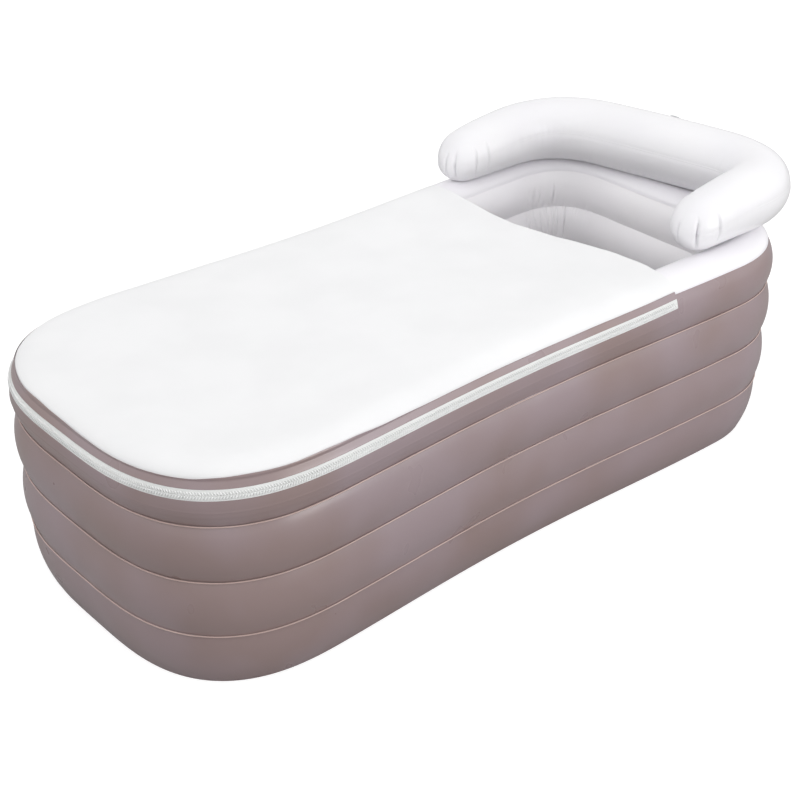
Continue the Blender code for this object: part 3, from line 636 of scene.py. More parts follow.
def channelTree():
    # channels side by side: each rises from a weld, bows over and comes down at the next
    tree = newTree("channels", {"Height": 0.046, "Pitch": 0.14, "Start": 0.0, "Fullness": 0.7, "Seed": 1.0})
    given = addNode(tree, "NodeGroupInput").outputs
    edge = addNode(tree, "GeometryNodeInputNamedAttribute", {"Name": "gather"}, data_type="FLOAT").outputs[0]
    where = addNode(tree, "GeometryNodeInputPosition").outputs[0]
    value = addNode(tree, "ShaderNodeSeparateXYZ", {0: where}).outputs[0]
    uneven = addNode(tree, "ShaderNodeTexNoise", {"Vector": where, "W": given["Seed"], "Scale": 14.0},
                     noise_dimensions="4D").outputs[0]
    share = addNode(tree, "ShaderNodeMapRange", {"Value": uneven, "To Min": 0.93}).outputs[0]
    for operation, other in (("SUBTRACT", given["Start"]), ("DIVIDE", given["Pitch"]), ("MULTIPLY", math.pi),
                             ("SINE", 0.0), ("ABSOLUTE", 0.0), ("POWER", given["Fullness"]),
                             ("MULTIPLY", edge), ("MULTIPLY", given["Height"]), ("MULTIPLY", share)):
        value = addNode(tree, "ShaderNodeMath", {0: value, 1: other}, operation=operation).outputs[0]
    up = addNode(tree, "ShaderNodeCombineXYZ", {"Z": value}).outputs[0]
    moved = addNode(tree, "GeometryNodeSetPosition", {"Geometry": given["Geometry"], "Offset": up}).outputs[0]
    finishTree(tree, moved, given["Finish"])
    return tree


def makeFloorPad():
    work = bmesh.new()
    gatherLayer, = addLayers(work, "gather")
    grid = []
    for step in range(pad["steps"] + 1):
        x = pad["halfLong"] * (2 * step / pad["steps"] - 1)
        width = halfWidthAt(x, pad["edge"])
        column = []
        for across in range(pad["across"] + 1):
            side = math.sin(math.pi / 2 * (2 * across / pad["across"] - 1))
            corner = work.verts.new((x, side * width, wall["baseTop"] + pad["lowerFilm"] + 0.0002))
            corner[gatherLayer] = math.sqrt(max(0.0, 1 - side ** 6))
            column.append(corner)
        grid.append(column)
    for first, second in zip(grid, grid[1:]):
        for low in range(len(first) - 1):
            work.faces.new((first[low], second[low], second[low + 1], first[low + 1]))
    piece = newPiece("floorPad", meshFrom(work, "floorPad"))
    addTree(piece, channelTree(), {
        "Height": pad["height"], "Pitch": 2 * pad["halfLong"] / pad["channels"], "Start": -pad["halfLong"],
        "Fullness": 0.75, "Seed": 2.0, "Finish": paintedLightInsideFilm})
    addFilm(piece, wall["film"], side=1)
    return bake(piece, 50)


# the floor also takes the white film painted lighter, painted light for the shaded bath
floorPad = place(makeFloorPad(), "tub", "white_film", "floor_film")
floorLowerFilm = flatFilm("floorLowerFilm", pad["flange"], wall["baseTop"], pad["lowerFilm"], paintedLightInsideFilm)
place(floorLowerFilm, "tub", "white_film")
print("base and floor made")


# cover: the white sheet over the foot and middle of the tub

cover = {
    "nearX": 0.370, "farX": 0.345, "border": 0.0125, "thick": 0.0006, "follow": 0.0007, "rimSteps": 10,
    "across": 40, "spineFoot": -0.50, "sag": 0.011, "slack": 0.0016, "cut": (0.80, 1.26),
    "hangHalf": 0.30, "bayHalf": 0.265, "bayFoot": -0.70, "bayEase": 0.12, "freeReach": 0.55, "freePower": 1.6,
    "pullReach": 0.85, "edgeHalf": 0.315,
    "edge": ((-0.366, 0.370), (-0.306, 0.3820), (-0.2465, 0.3925), (-0.190, 0.3968), (-0.1357, 0.3932),
             (-0.0627, 0.3817), (-0.0141, 0.3702), (0.0347, 0.3593), (0.0733, 0.3526), (0.1124, 0.3487),
             (0.1641, 0.3479), (0.2262, 0.3486), (0.300, 0.3490), (0.366, 0.345)),
    "endLift": 0.0075, "endReach": 0.12,
    "overlap": ((0.57, 0.3), (1.20, 0.3), (1.31, 1.9), (1.40, 5.6), (1.46, 6.8), (1.52, 5.6), (1.60, 6.4),
                (1.65, 5.0), (1.70, 2.9), (1.85, 2.7), (1.94, 4.1), (2.03, 6.4), (2.09, 8.0), (2.15, 6.4),
                (2.22, 8.4), (2.34, 8.0), (2.50, 5.5), (2.75, 2.0), (3.00, 0.3), (4.00, 0.3)),
    "underBorder": 0.0002, "overlapSteps": 5, "lapLift": 0.0010, "lapSlope": 0.35, "lapMost": 0.0023,
}
nearEnd = alongAtX(cover["nearX"], True)
farEnd = alongAtX(cover["farX"], False)


def clamp(value):
    return max(0.0, min(1.0, value))


def edgeX(y):
    # where the sheet's free edge runs between the two ends of the zip
    points = cover["edge"]
    index = 0
    while index < len(points) - 2 and y > points[index + 1][0]:
        index += 1
    (y0, x0), (y1, x1) = points[index], points[index + 1]
    before, after = points[max(0, index - 1)], points[min(len(points) - 1, index + 2)]
    share = clamp((y - y0) / (y1 - y0))
    slope0 = (x1 - before[1]) / (y1 - before[0]) * (y1 - y0)
    slope1 = (after[1] - x0) / (after[0] - y0) * (y1 - y0)
    squared, cubed = share ** 2, share ** 3
    return (x0 * (2 * cubed - 3 * squared + 1) + slope0 * (cubed - 2 * squared + share)
            + x1 * (3 * squared - 2 * cubed) + slope1 * (cubed - squared))


def endLift(here):
    # the taut sheet draws the near end of the zip up a little
    return cover["endLift"] * math.exp(-abs(here["along"] - nearEnd) / cover["endReach"])


def borderOverlap(along):
    # how far the taupe border laps over the sheet, in metres; it is widest round the foot corners
    for (start, low), (end, high) in zip(cover["overlap"], cover["overlap"][1:]):
        if along <= end:
            share = (along - start) / (end - start)
            return (low + (high - low) * share ** 2 * (3 - 2 * share)) / 1000
    return low / 1000


def sheetDrop(x, y):
    # it hangs a little between the rims, most at its free edge
    bay = max(0.0, 1 - (y / cover["bayHalf"]) ** 2) * clamp((x - cover["bayFoot"]) / cover["bayEase"])
    free = clamp(1 - (edgeX(y) - x) / cover["freeReach"]) ** cover["freePower"]
    return (cover["sag"] * free + cover["slack"]) * bay


def sheetRows():
    # rows right across the sheet, from the free edge round to the foot
    half = planAround / 2
    rows = []
    for here in stations(0.010, 0.006, nearEnd, half):
        share = (here["along"] - nearEnd) / (half - nearEnd)
        there = station(farEnd + (half - farEnd) * share)
        pull = max(0.0, 1 - share * (half - nearEnd) / cover["pullReach"]) ** 3
        sides = []
        for side in (here, there):
            run = []
            for step in range(cover["rimSteps"] + 1):
                low = 1 - step / cover["rimSteps"]
                out, up = rimPoint(math.pi / 2 * (1 - low), wall["gap"] + 0.0001)
                run.append(pointAt(side, out, up + endLift(side) * low ** 2))
            sides.append(run)
        tops = [run[-1] for run in sides]
        spine = Vector((max(cover["spineFoot"], (tops[0].x + tops[1].x) / 2), 0.0, tops[0].z))
        shares = [step / cover["across"] for step in range(1, cover["across"])]
        row = sides[0] + [tops[0].lerp(spine, share) for share in shares] + [spine]
        row += [tops[1].lerp(spine, share) for share in reversed(shares)] + sides[1][::-1]
        for spot in row:
            middle = clamp((spot.y + cover["edgeHalf"]) / (2 * cover["edgeHalf"]))
            straight = cover["nearX"] + (cover["farX"] - cover["nearX"]) * middle
            spot.x += pull * (edgeX(spot.y) - straight)
            if abs(spot.y) < cover["hangHalf"]:
                spot.z -= sheetDrop(spot.x, spot.y)
        rows.append((pull, row))
    return rows


def makeSheet():
    work = bmesh.new()
    alongLayer, gatherLayer = addLayers(work, "along", "gather")
    grid = []
    for pull, row in sheetRows():
        corners = []
        for spot in row:
            corner = work.verts.new(spot)
            corner[alongLayer] = spot.y
            corner[gatherLayer] = pull * max(0.0, 1 - abs(spot.y) / cover["hangHalf"])
            corners.append(corner)
        grid.append(corners)
    addQuads(work, grid)
    bmesh.ops.remove_doubles(work, verts=work.verts, dist=0.00002)
    bmesh.ops.recalc_face_normals(work, faces=work.faces)
    if sum(face.normal.z for face in work.faces) < 0:
        bmesh.ops.reverse_faces(work, faces=work.faces)
    return meshFrom(work, "coverSheet")


sheetMesh = makeSheet()
coverSheet = filmPiece("coverSheet", sheetMesh, {
    "Crease Depth": 0.002, "Crease Spacing": 0.06, "Crease Sharpness": 1.0, "Soft Depth": 0.0016,
    "Soft Spacing": 0.13, "Seed": 5.0, "Finish": coatedSheet}, cover["thick"], side=1)
place(coverSheet, "cover", "white_sheet", "cover_sheet")


# border strip and zip

tape = {"half": 0.009, "thick": 0.0008, "carrier": 0.034, "weldBelow": 0.023, "raise": 0.0008, "shortOf": 0.010}
zipTop = rimZ - cover["border"]
zipMiddle = zipTop - wall["gap"] - tape["half"]
zipBottom = zipMiddle - wall["gap"] - tape["half"]


def faceOut(here, height):
    # how far the top tier stands out at a height
    bulge = bulgeAt(wall["outerBulges"], 3, here["along"], 10)
    chord = wall["topTier"]
    radius = (chord ** 2 / 4 + bulge ** 2) / (2 * bulge)
    middle = topSeam + chord / 2
    lean = -wall["rimTuck"] * (height - topSeam) / chord
    return lean + math.sqrt(radius ** 2 - (height - middle) ** 2) - radius + bulge


def strip(name, body, slot, node, low, high, lift, thick, finish, steps, bead=None, laps=False):
    # a strip that follows the top tier's face, or laps on over the rim
    def column(here):
        points = []
        for step in range(steps + 1):
            up = low + (high - low) * step / steps
            raised = tape["raise"] if bead and abs(up - bead) < 0.55 * (high - low) / steps else 0.0
            points.append((faceOut(here, min(up, rimZ)) + lift + raised, up + endLift(here), 0.0, 0.0))
        if laps:
            for step in range(1, cover["overlapSteps"] + 1):
                lapped = borderOverlap(here["along"]) * step / cover["overlapSteps"]
                grow = min(cover["lapMost"], cover["lapLift"] + cover["lapSlope"] * lapped)
                out, up = rimPoint(lapped / wall["rimRise"], grow)
                points.append((out, up + endLift(here), 0.0, 0.0))
        return points
    mesh = filmMesh(name, stations(0.010, 0.006, nearEnd, farEnd), column, closed=False)
    values = {**outerWrinkles, "Crease Depth": 0.0, "Seed": 0.0, "Finish": finish}
    place(filmPiece(name, mesh, values, thick, side=1, sharp=50), body, slot, node)


follow, gap = cover["follow"], wall["gap"]
strip("coverBorder", "cover", "taupe_film", "cover_border", zipTop, rimZ - gap, follow + cover["underBorder"],
      wall["film"], taupeFilm, 6, laps=True)
strip("zipTapeUpper", "cover", "zip_tape", "zip_tape_upper", zipMiddle + gap / 2, zipTop - gap, follow,
      tape["thick"], zipCloth, 5)
strip("zipTapeLower", "tub", "zip_tape", "zip_tape_lower", zipBottom, zipMiddle - gap / 2, follow, tape["thick"],
      zipCloth, 5)
strip("zipCarrier", "tub", "taupe_film", "zip_carrier", zipBottom - gap - tape["carrier"], zipBottom - gap, follow,
      wall["film"], taupeFilm, 18, bead=zipBottom - tape["weldBelow"])
print("border and zip tapes made")


def toothTree():
    # nylon teeth side by side along a line, each leaning as its coil winds
    tree = newTree("zip teeth", {"Pitch": 0.004, "Length": 0.0038, "Width": 0.0017, "Depth": 0.0018, "Lean": 0.4})
    given = addNode(tree, "NodeGroupInput").outputs
    curve = addNode(tree, "GeometryNodeMeshToCurve", {"Mesh": given["Geometry"]}).outputs[0]
    spaced = addNode(tree, "GeometryNodeResampleCurve", {"Curve": curve, "Length": given["Pitch"]}, mode="LENGTH")
    travel = addNode(tree, "GeometryNodeInputTangent").outputs[0]
    turn = addNode(tree, "FunctionNodeAlignRotationToVector", {"Vector": travel}, axis="X", pivot_axis="Z").outputs[0]
    tooth = addNode(tree, "GeometryNodeMeshUVSphere", {"Segments": 8, "Rings": 6, "Radius": 0.5}).outputs[0]
    size = addNode(tree, "ShaderNodeCombineXYZ", {"X": given["Width"], "Y": given["Depth"], "Z": given["Length"]})
    lean = addNode(tree, "ShaderNodeCombineXYZ", {"Y": given["Lean"]}).outputs[0]
    sized = addNode(tree, "GeometryNodeTransform", {"Geometry": tooth, "Scale": size.outputs[0]}).outputs[0]
    leaning = addNode(tree, "GeometryNodeTransform", {"Geometry": sized, "Rotation": lean}).outputs[0]
    many = addNode(tree, "GeometryNodeInstanceOnPoints", {
        "Points": spaced.outputs[0], "Instance": leaning, "Rotation": turn}).outputs[0]
    finishTree(tree, many, given["Finish"])
    return tree


teeth = toothTree()
# a real coil of this size has a tooth every 2 mm or so; these are coarser, so that they show
coil = {"pitch": 0.0050, "length": 0.0076, "width": 0.0023, "depth": 0.0026, "lean": 0.50, "high": 0.0066}


def makeCoil(name, height, lean, shift, body, node):
    lift = follow + tape["thick"] + gap + coil["depth"] / 2
    path = stations(0.010, 0.005, nearEnd + tape["shortOf"] + shift, farEnd - tape["shortOf"])
    points = [pointAt(here, faceOut(here, height) + lift, height + endLift(here)) for here in path]
    piece = newPiece(name, lineMesh(name, points, False))
    addTree(piece, teeth, {"Pitch": coil["pitch"], "Length": coil["length"], "Width": coil["width"],
                           "Depth": coil["depth"], "Lean": lean, "Finish": nylonCoil})
    place(bake(piece, 60), body, "zip_coil", node)


makeCoil("zipCoilUpper", zipMiddle + gap / 2 + coil["high"] / 2, coil["lean"], 0.0, "cover", "zip_coil_upper")
makeCoil("zipCoilLower", zipMiddle - gap / 2 - coil["high"] / 2, -coil["lean"], coil["pitch"] / 2, "tub",
         "zip_coil_lower")


def repaint(mesh, finish):
    mesh.materials.clear()
    mesh.materials.append(finish)


def makeNearStop():
    # the near stop as in the CAD, drawn up with the zip's end
    mesh = nodes["zip_stop_near"].data.copy()
    lift = Matrix.Translation((0, 0, endLift(station(nearEnd + tape["shortOf"]))))
    mesh.transform(lift @ nodes["zip_stop_near"].matrix_world)
    repaint(mesh, nylonCoil)
    place(newPiece("zipStopNear", mesh), "tub", "zip_coil", "zip_stop_near")


makeNearStop()
print("zip teeth made")


# headrest, one inflated horseshoe of two films welded round its edge

headrest = {
    "backX": 0.7675, "halfSpan": 0.292, "sideShift": 0.026, "turn": 0.0575, "arm": 0.285, "corner": 0.156,
    "armRadius": 0.060, "backRadius": 0.073, "flat": 0.004, "weld": math.radians(11), "swell": 0.8,
    "rest": crestZ + wall["gap"], "step": 0.0065, "fine": 0.0014, "fineTo": 0.16, "upper": 40, "lower": 46,
    "weldDip": math.radians(17), "creaseWidth": 0.0026, "creaseHalf": 0.036, "taper": 0.19, "taperLong": 0.075,
    "nearCreases": ((-0.058, 0.0050), (-0.006, 0.0065), (0.045, 0.0105), (0.098, 0.0085)),
    "farCreases": ((0.045, 0.0050), (-0.009, 0.0060), (-0.036, 0.0075), (-0.088, 0.0070), (-0.122, 0.0050)),
    "cornerSteps": 40, "tipSteps": 66, "weldReach": 0.21, "tipCreases": 0.075, "farShift": 0.9,
    "pinch": 0.0010, "pinchReach": 0.0035, "ridge": 0.0009, "ridgeReach": 0.0007, "even": 0.02, "gatherTurn": 0.35,
}


def headrestSpine():
    # the horseshoe's middle line from arm end to arm end, in steps that are finest near the ends
    h = headrest
    near = Vector((h["backX"] + h["turn"], h["sideShift"] - h["halfSpan"]))
    far = Vector((h["backX"] - h["turn"], h["sideShift"] + h["halfSpan"]))
    runs = []
    for corner, other in ((near, far), (far, near)):
        back = (other - corner).normalized()
        tip = corner - Vector((h["arm"] + h["armRadius"], 0.0))
        enter = corner - Vector((h["corner"], 0.0))
        leave = corner + back * h["corner"]
        run = [tip]
        for step in range(h["cornerSteps"] + 1):
            t = step / h["cornerSteps"]
            run.append((1 - t) ** 2 * enter + 2 * t * (1 - t) * corner + t ** 2 * leave)
        runs.append(run)
    rough = runs[0] + list(reversed(runs[1]))
    lengths = [0.0]
    for first, second in zip(rough, rough[1:]):
        lengths.append(lengths[-1] + (second - first).length)
    whole = lengths[-1]
    steps = h["tipSteps"]
    wanted = [(1 - math.cos(math.pi / 2 * step / steps)) * h["armRadius"] for step in range(steps)]
    length = h["armRadius"]
    while length < whole / 2:
        wanted.append(length)
        length += h["fine"] if length < h["fineTo"] else h["step"]
    wanted = wanted + [whole / 2] + [whole - length for length in reversed(wanted)]
    spine = []
    index = 0
    for length in wanted:
        while index < len(lengths) - 2 and lengths[index + 1] < length:
            index += 1
        share = (length - lengths[index]) / (lengths[index + 1] - lengths[index])
        spine.append((rough[index].lerp(rough[index + 1], share), length))
    return spine, whole


def headrestTurns(weld):
    # angles round the section, closest together at the two welds
    h = headrest
    films = ((weld, math.pi - weld, h["upper"]), (math.pi - weld, 2 * math.pi + weld, h["lower"]))
    return [start + (end - start) * (1 - math.cos(math.pi * step / count)) / 2
            for start, end, count in films for step in range(count)]


def makeHeadrest():
    h = headrest
    spine, whole = headrestSpine()
    work = bmesh.new()
    alongLayer, gatherLayer, pleatLayer = addLayers(work, "along", "gather", "pleat")
    rings = []
    for index, (spot, length) in enumerate(spine):
        behind, ahead = spine[max(0, index - 1)][0], spine[min(len(spine) - 1, index + 1)][0]
        travel = (ahead - behind).normalized()
        side = Vector((travel.y, -travel.x))
        swell = math.sin(math.pi * length / whole) ** h["swell"] if 0 < length < whole else 0.0
        toEnd = min(length, whole - length)
        radius = h["armRadius"] + (h["backRadius"] - h["armRadius"]) * swell
        radius *= 1 - h["taper"] * math.exp(-toEnd / h["taperLong"])
        full, middle = radius, h["rest"] - h["flat"] + radius
        short = toEnd / h["armRadius"]
        if short < 1:
            radius *= math.sqrt(1 - (1 - short) ** 2)
        # the way from the tip round the arm's surface
        run = h["armRadius"] * math.acos(max(-1.0, 1 - short)) if short < 1 else toEnd + (
            h["armRadius"] * (math.pi / 2 - 1))
        ring = []
        weld = h["weld"] - h["weldDip"] * max(0.0, 1 - run / h["weldReach"])
        isFar = length > whole / 2
        creases = h["farCreases"] if isFar else h["nearCreases"]
        turns = headrestTurns(weld)
        for turn in turns:
            off = min(abs(turn - weld), abs(turn - math.pi + weld), abs(turn - 2 * math.pi - weld))
            away = off * radius
            perimeter = run if math.cos(turn) >= 0 else -run
            # across the tip the creases stand upright like meridians, further on they go round the arm
            bearing = h["armRadius"] * math.atan2(radius * math.cos(turn), full * max(1e-6, 1 - short))
            high = min(1.0, abs(radius * (math.sin(turn) - math.sin(weld))) / h["creaseHalf"])
            pleat = 0.0
            for fold, depth in creases:
                isTip = abs(fold) < h["tipCreases"]
                if isTip and short >= 1:
                    continue
                across = abs((bearing if isTip else perimeter) - fold) / h["creaseWidth"]
                share = high if isTip else min(1.0, away / h["creaseHalf"])
                if across < 4:
                    pleat += depth * (1 - share ** 2) ** 0.8 * math.exp(-across ** 1.3)
            pinch = h["pinch"] * math.exp(-away / h["pinchReach"])
            pinch -= h["ridge"] * math.exp(-(away / h["ridgeReach"]) ** 2)
            reach = max(0.0, radius - pinch * min(1.0, radius / h["even"]))
            out = side * (reach * math.cos(turn))
            up = max(h["rest"] + 0.0003, middle + reach * math.sin(turn))
            corner = work.verts.new((spot.x + out.x, spot.y + out.y, up))
            corner[alongLayer] = perimeter + (h["farShift"] if isFar else 0.0)
            corner[gatherLayer] = math.exp(-(off / h["gatherTurn"]) ** 2) * min(1.0, run / h["even"])
            corner[pleatLayer] = pleat
            ring.append(corner)
        rings.append(ring)
    for first, second in zip(rings, rings[1:]):
        for index in range(len(turns)):
            other = (index + 1) % len(turns)
            work.faces.new((first[index], first[other], second[other], second[index]))
    bmesh.ops.remove_doubles(work, verts=work.verts, dist=0.00001)
    bmesh.ops.recalc_face_normals(work, faces=work.faces)
    piece = newPiece("headrestCushion", meshFrom(work, "headrestCushion"))
    addTree(piece, wrinkles, {"Crease Depth": 0.0008, "Crease Spacing": 0.020, "Crease Sharpness": 1.1,
                              "Soft Depth": 0.0018, "Soft Spacing": 0.14, "Seed": 8.0, "Finish": glossFilm})
    return bake(piece, 60)


headrestCushion = place(makeHeadrest(), "tub", "white_film", "headrest_upper_film", "headrest_lower_film")
print("headrest made,", len(headrestCushion.data.polygons), "faces")


# air valves and drain

valve = {
    "flange": 0.017, "thick": 0.0014, "neck": 0.0068, "bore": 0.0052, "deep": 0.012, "head": 0.0095,
    "headThick": 0.002, "stopper": 0.010, "wire": 0.0009, "rise": 0.006, "turns": 48,
}
drain = {"y": -0.08, "pipe": 0.013, "bore": 0.011, "flange": 0.026, "thick": 0.0018, "spout": 0.016,
         "capWall": 0.002, "plug": 0.014, "knob": 0.006, "knobLong": 0.009, "faceX": 0.80007, "innerX": 0.6795}


def aimed(spot, direction):
    turn = Vector((0, 0, 1)).rotation_difference(Vector(direction)).to_matrix().to_4x4()
    return Matrix.Translation(spot) @ turn


def turned(name, profile, finish, placed, closed=True, soft=0.0004):
    # a part turned from a profile of (radius, height), its edges softened
    work = bmesh.new()
    columns = []
    for step in range(valve["turns"]):
        turn = 2 * math.pi * step / valve["turns"]
        columns.append([work.verts.new(placed @ Vector((radius * math.cos(turn), radius * math.sin(turn), up)))
                        for radius, up in profile])
    edges = list(range(len(profile) if closed else len(profile) - 1))
    for step in range(valve["turns"]):
        first, second = columns[step], columns[(step + 1) % valve["turns"]]
        for low in edges:
            high = (low + 1) % len(profile)
            work.faces.new((first[low], second[low], second[high], first[high]))
    bmesh.ops.remove_doubles(work, verts=work.verts, dist=0.00001)
    bmesh.ops.dissolve_degenerate(work, edges=work.edges, dist=0.00001)
    bmesh.ops.recalc_face_normals(work, faces=work.faces)
    piece = newPiece(name, meshFrom(work, name), finish)
    bevel = piece.modifiers.new("soft edges", "BEVEL")
    bevel.width, bevel.segments, bevel.limit_method, bevel.angle_limit = soft, 2, "ANGLE", math.radians(40)
    return bake(piece, 50)


def strapLine(outer, inner, low, high, placed):
    top = high + valve["rise"]
    middle, radius = (outer + inner) / 2, (outer - inner) / 2
    points = [(outer, 0.0, low), (outer, 0.0, (low + top) / 2)]
    for step in range(25):
        turn = math.pi * step / 24
        points.append((middle + radius * math.cos(turn), 0.0, top - radius + radius * math.sin(turn)))
    points.append((inner, 0.0, high - valve["wire"]))
    return [placed @ Vector(point) for point in points]


def makeValve(name, node, placed, body):
    v = valve
    base = turned(name + "Base", [
        (v["flange"], 0.0), (v["neck"], 0.0), (v["neck"], -v["deep"]), (v["bore"], -v["deep"]),
        (v["bore"], v["thick"]), (v["neck"] + 0.002, v["thick"]), (v["neck"] + 0.0026, v["thick"] - 0.0004),
        (v["flange"] - 0.003, v["thick"] - 0.0004), (v["flange"] - 0.0022, v["thick"]),
        (v["flange"], v["thick"])], milkyVinyl, placed, soft=0.00025)
    place(base, "tub", "clear_plastic", node + "_base")
    low = v["thick"] + wall["gap"]
    high = low + v["headThick"]
    shaft = v["bore"] - wall["gap"]
    stopper = turned(name + "Stopper", [
        (0.0, high - 0.0006), (v["head"] - 0.0042, high - 0.0006), (v["head"] - 0.0034, high), (v["head"], high),
        (v["head"], low), (shaft, low), (shaft, low - v["stopper"] + 0.002), (shaft - 0.0008, low - v["stopper"]),
        (0.0, low - v["stopper"])], milkyVinyl, placed, closed=False, soft=0.0003)
    place(stopper, body, "clear_plastic", node + "_stopper")
    line = strapLine(v["flange"] - 2 * v["wire"], v["head"] + wall["gap"] + v["wire"], low, high, placed)
    strap = makeBead(name + "Strap", line, False, v["wire"], milkyVinyl, 12)
    place(strap, "tub", "clear_plastic", node + "_strap")


tierMiddle = wall["pitch"] / 2
makeValve("wallValve", "wall_valve", aimed((0.8118, 0.09, 2 * wall["pitch"] + tierMiddle), (1, 0, 0)), "wall_stopper")
makeValve("floorValve", "floor_valve", aimed((0.5678, 0.12, 0.0476), (0, 0, 1)), "floor_stopper")
makeValve("headrestValve", "headrest_valve", aimed((0.81856, 0.03606, 0.57564), (0.69378, 0.13662, 0.70711)),
          "headrest_stopper")


def makeDrain():
    d, space = drain, wall["gap"]
    inner = aimed((d["innerX"], d["y"], tierMiddle), (-1, 0, 0))
    outer = aimed((d["faceX"], d["y"], tierMiddle), (1, 0, 0))
    long = d["faceX"] - d["innerX"]
    pipe = turned("drainPipe", [
        (d["flange"], d["thick"]), (d["flange"], 0.0), (d["pipe"], 0.0), (d["pipe"], space - long),
        (d["bore"], space - long), (d["bore"], d["thick"])], whitePlastic, inner)
    place(pipe, "tub", "white_plastic", "drain_pipe")
    thread = [(d["pipe"] - 0.0007 * (step % 2), d["spout"] - 0.0012 * step) for step in range(2, 11)]
    outlet = turned("drainOutlet", [
        (d["pipe"] - 0.0007, d["spout"]), *thread, (d["pipe"], d["thick"]), (d["flange"], d["thick"]),
        (d["flange"], 0.0), (d["bore"], 0.0), (d["bore"], d["spout"])], whitePlastic, outer, soft=0.0002)
    place(outlet, "tub", "white_plastic", "drain_outlet")
    sleeve, lid = d["pipe"] + space, d["spout"] + space
    skirt = sleeve + d["capWall"]
    low = d["thick"] + space
    cap = turned("drainCap", [
        (0.0, lid + d["capWall"]), (skirt, lid + d["capWall"]), (skirt, low), (sleeve, low), (sleeve, lid),
        (0.0, lid)], greyPlastic, outer, closed=False, soft=0.0006)
    place(cap, "outlet_cap", "grey_plastic", "drain_cap")
    head, shaft, knobFoot = d["pipe"] + d["thick"], d["bore"] - space, low + d["thick"]
    plug = turned("drainPlug", [
        (0.0, knobFoot + d["knobLong"]), (d["knob"], knobFoot + d["knobLong"]), (d["knob"] - 0.0012, knobFoot + 0.002),
        (d["knob"], knobFoot), (head, knobFoot), (head, low), (shaft, low), (shaft - 0.0006, low - d["plug"]),
        (0.0, low - d["plug"])], greyPlastic, inner, closed=False, soft=0.0005)
    place(plug, "plug", "grey_plastic", "drain_plug")
    line = strapLine(d["flange"] - 2 * valve["wire"], skirt + space + valve["wire"], low, lid, outer)
    place(makeBead("drainStrap", line, False, valve["wire"], greyPlastic, 12), "tub", "grey_plastic", "drain_strap")


makeDrain()
print("valves and drain made")


# carried over from the CAD, with their real materials

for node in nodes:
    if node.startswith("web"):
        repaint(nodes[node].data, whiteFilm)
for node, finish in (("zip_stop_far", nylonCoil), ("zip_slider", nickelPlate), ("zip_pull", nickelPlate)):
    repaint(nodes[node].data, finish)


# light, floor and backdrop

stage = {
    "floor": 30.0, "fill": 0.79, "brightSide": 1.66, "dimSide": 0.14, "glow": 0.72, "bounce": 0.40,
    "paint": 0.45, "below": 0.0006,
    "lamps": [
        ("right", (1.0, -2.9, 1.5), (0.0, 0.0, 0.25), (2.0, 1.6), 18),
        ("low strip", (0.7, -3.0, 0.7), (0.0, 0.0, 0.25), (1.4, 0.4), 11),
    ],
}


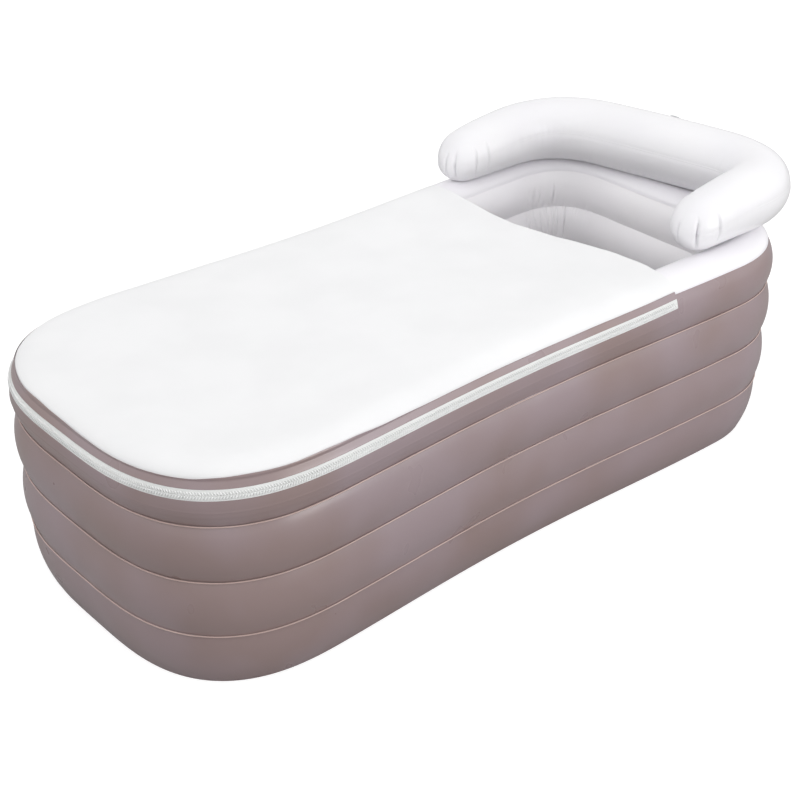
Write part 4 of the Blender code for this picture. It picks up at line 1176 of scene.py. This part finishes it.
def makeStage():
    world = bpy.data.worlds.new("studio")
    bpy.context.scene.world = world
    tree = emptyTree(world)
    path = addNode(tree, "ShaderNodeLightPath")
    seen = path.outputs["Is Camera Ray"]
    for ray in ("Is Glossy Ray", "Is Transmission Ray"):
        seen = addNode(tree, "ShaderNodeMath", {0: seen, 1: path.outputs[ray]}, operation="MAXIMUM").outputs[0]
    # past the foot end the sky is a broad bright band with a dim one below it
    direction = addNode(tree, "ShaderNodeSeparateXYZ", {0: addNode(tree, "ShaderNodeTexCoord").outputs["Generated"]})
    side = addNode(tree, "ShaderNodeMapRange", {
        "Value": direction.outputs["X"], "From Min": 0.1, "From Max": -0.6}, interpolation_type="SMOOTHSTEP").outputs[0]
    band = stage["dimSide"]
    for low, high, above in ((0.16, 0.36, stage["brightSide"]), (0.70, 0.95, stage["fill"])):
        band = addNode(tree, "ShaderNodeMapRange", {
            "Value": direction.outputs["Z"], "From Min": low, "From Max": high, "To Min": band, "To Max": above},
            interpolation_type="SMOOTHSTEP").outputs[0]
    fill = addNode(tree, "ShaderNodeMapRange", {"Value": side, "To Min": stage["fill"], "To Max": band}).outputs[0]
    strength = addNode(tree, "ShaderNodeMapRange", {"Value": seen, "To Min": fill}).outputs[0]
    sky = addNode(tree, "ShaderNodeBackground", {"Color": (1, 1, 1, 1), "Strength": strength})
    addNode(tree, "ShaderNodeOutputWorld", {"Surface": sky.outputs["Background"]})

    mesh = bpy.data.meshes.new("studioFloor")
    size = stage["floor"]
    mesh.from_pydata([(-size, -size, 0), (size, -size, 0), (size, size, 0), (-size, size, 0)], [], [(0, 1, 2, 3)])
    floor = newPiece("studioFloor", mesh)
    floor.location.z = -stage["below"]
    material = bpy.data.materials.new("white studio floor")
    tree = emptyTree(material)
    path = addNode(tree, "ShaderNodeLightPath")
    glow = addNode(tree, "ShaderNodeEmission", {"Color": (1, 1, 1, 1), "Strength": stage["glow"]})
    paint = addNode(tree, "ShaderNodeBsdfDiffuse", {"Color": (*[stage["bounce"]] * 3, 1)})
    dark = addNode(tree, "ShaderNodeBsdfDiffuse", {"Color": (*[stage["paint"]] * 3, 1)})
    both = addNode(tree, "ShaderNodeAddShader")
    tree.links.new(glow.outputs[0], both.inputs[0])
    tree.links.new(dark.outputs[0], both.inputs[1])
    mix = addNode(tree, "ShaderNodeMixShader", {"Fac": path.outputs["Is Camera Ray"]})
    tree.links.new(paint.outputs[0], mix.inputs[1])
    tree.links.new(both.outputs[0], mix.inputs[2])
    addNode(tree, "ShaderNodeOutputMaterial", {"Surface": mix.outputs[0]})
    mesh.materials.append(material)

    for name, spot, target, size, power in stage["lamps"]:
        data = bpy.data.lights.new(name, "AREA")
        data.shape, data.energy = "RECTANGLE", power
        data.size, data.size_y = size
        lamp = linkNew(name, data)
        lamp.location = spot
        lamp.rotation_euler = (Vector(target) - Vector(spot)).to_track_quat("-Z", "Y").to_euler()
    bpy.context.scene.view_settings.view_transform = "Standard"


makeStage()
print("stage made")
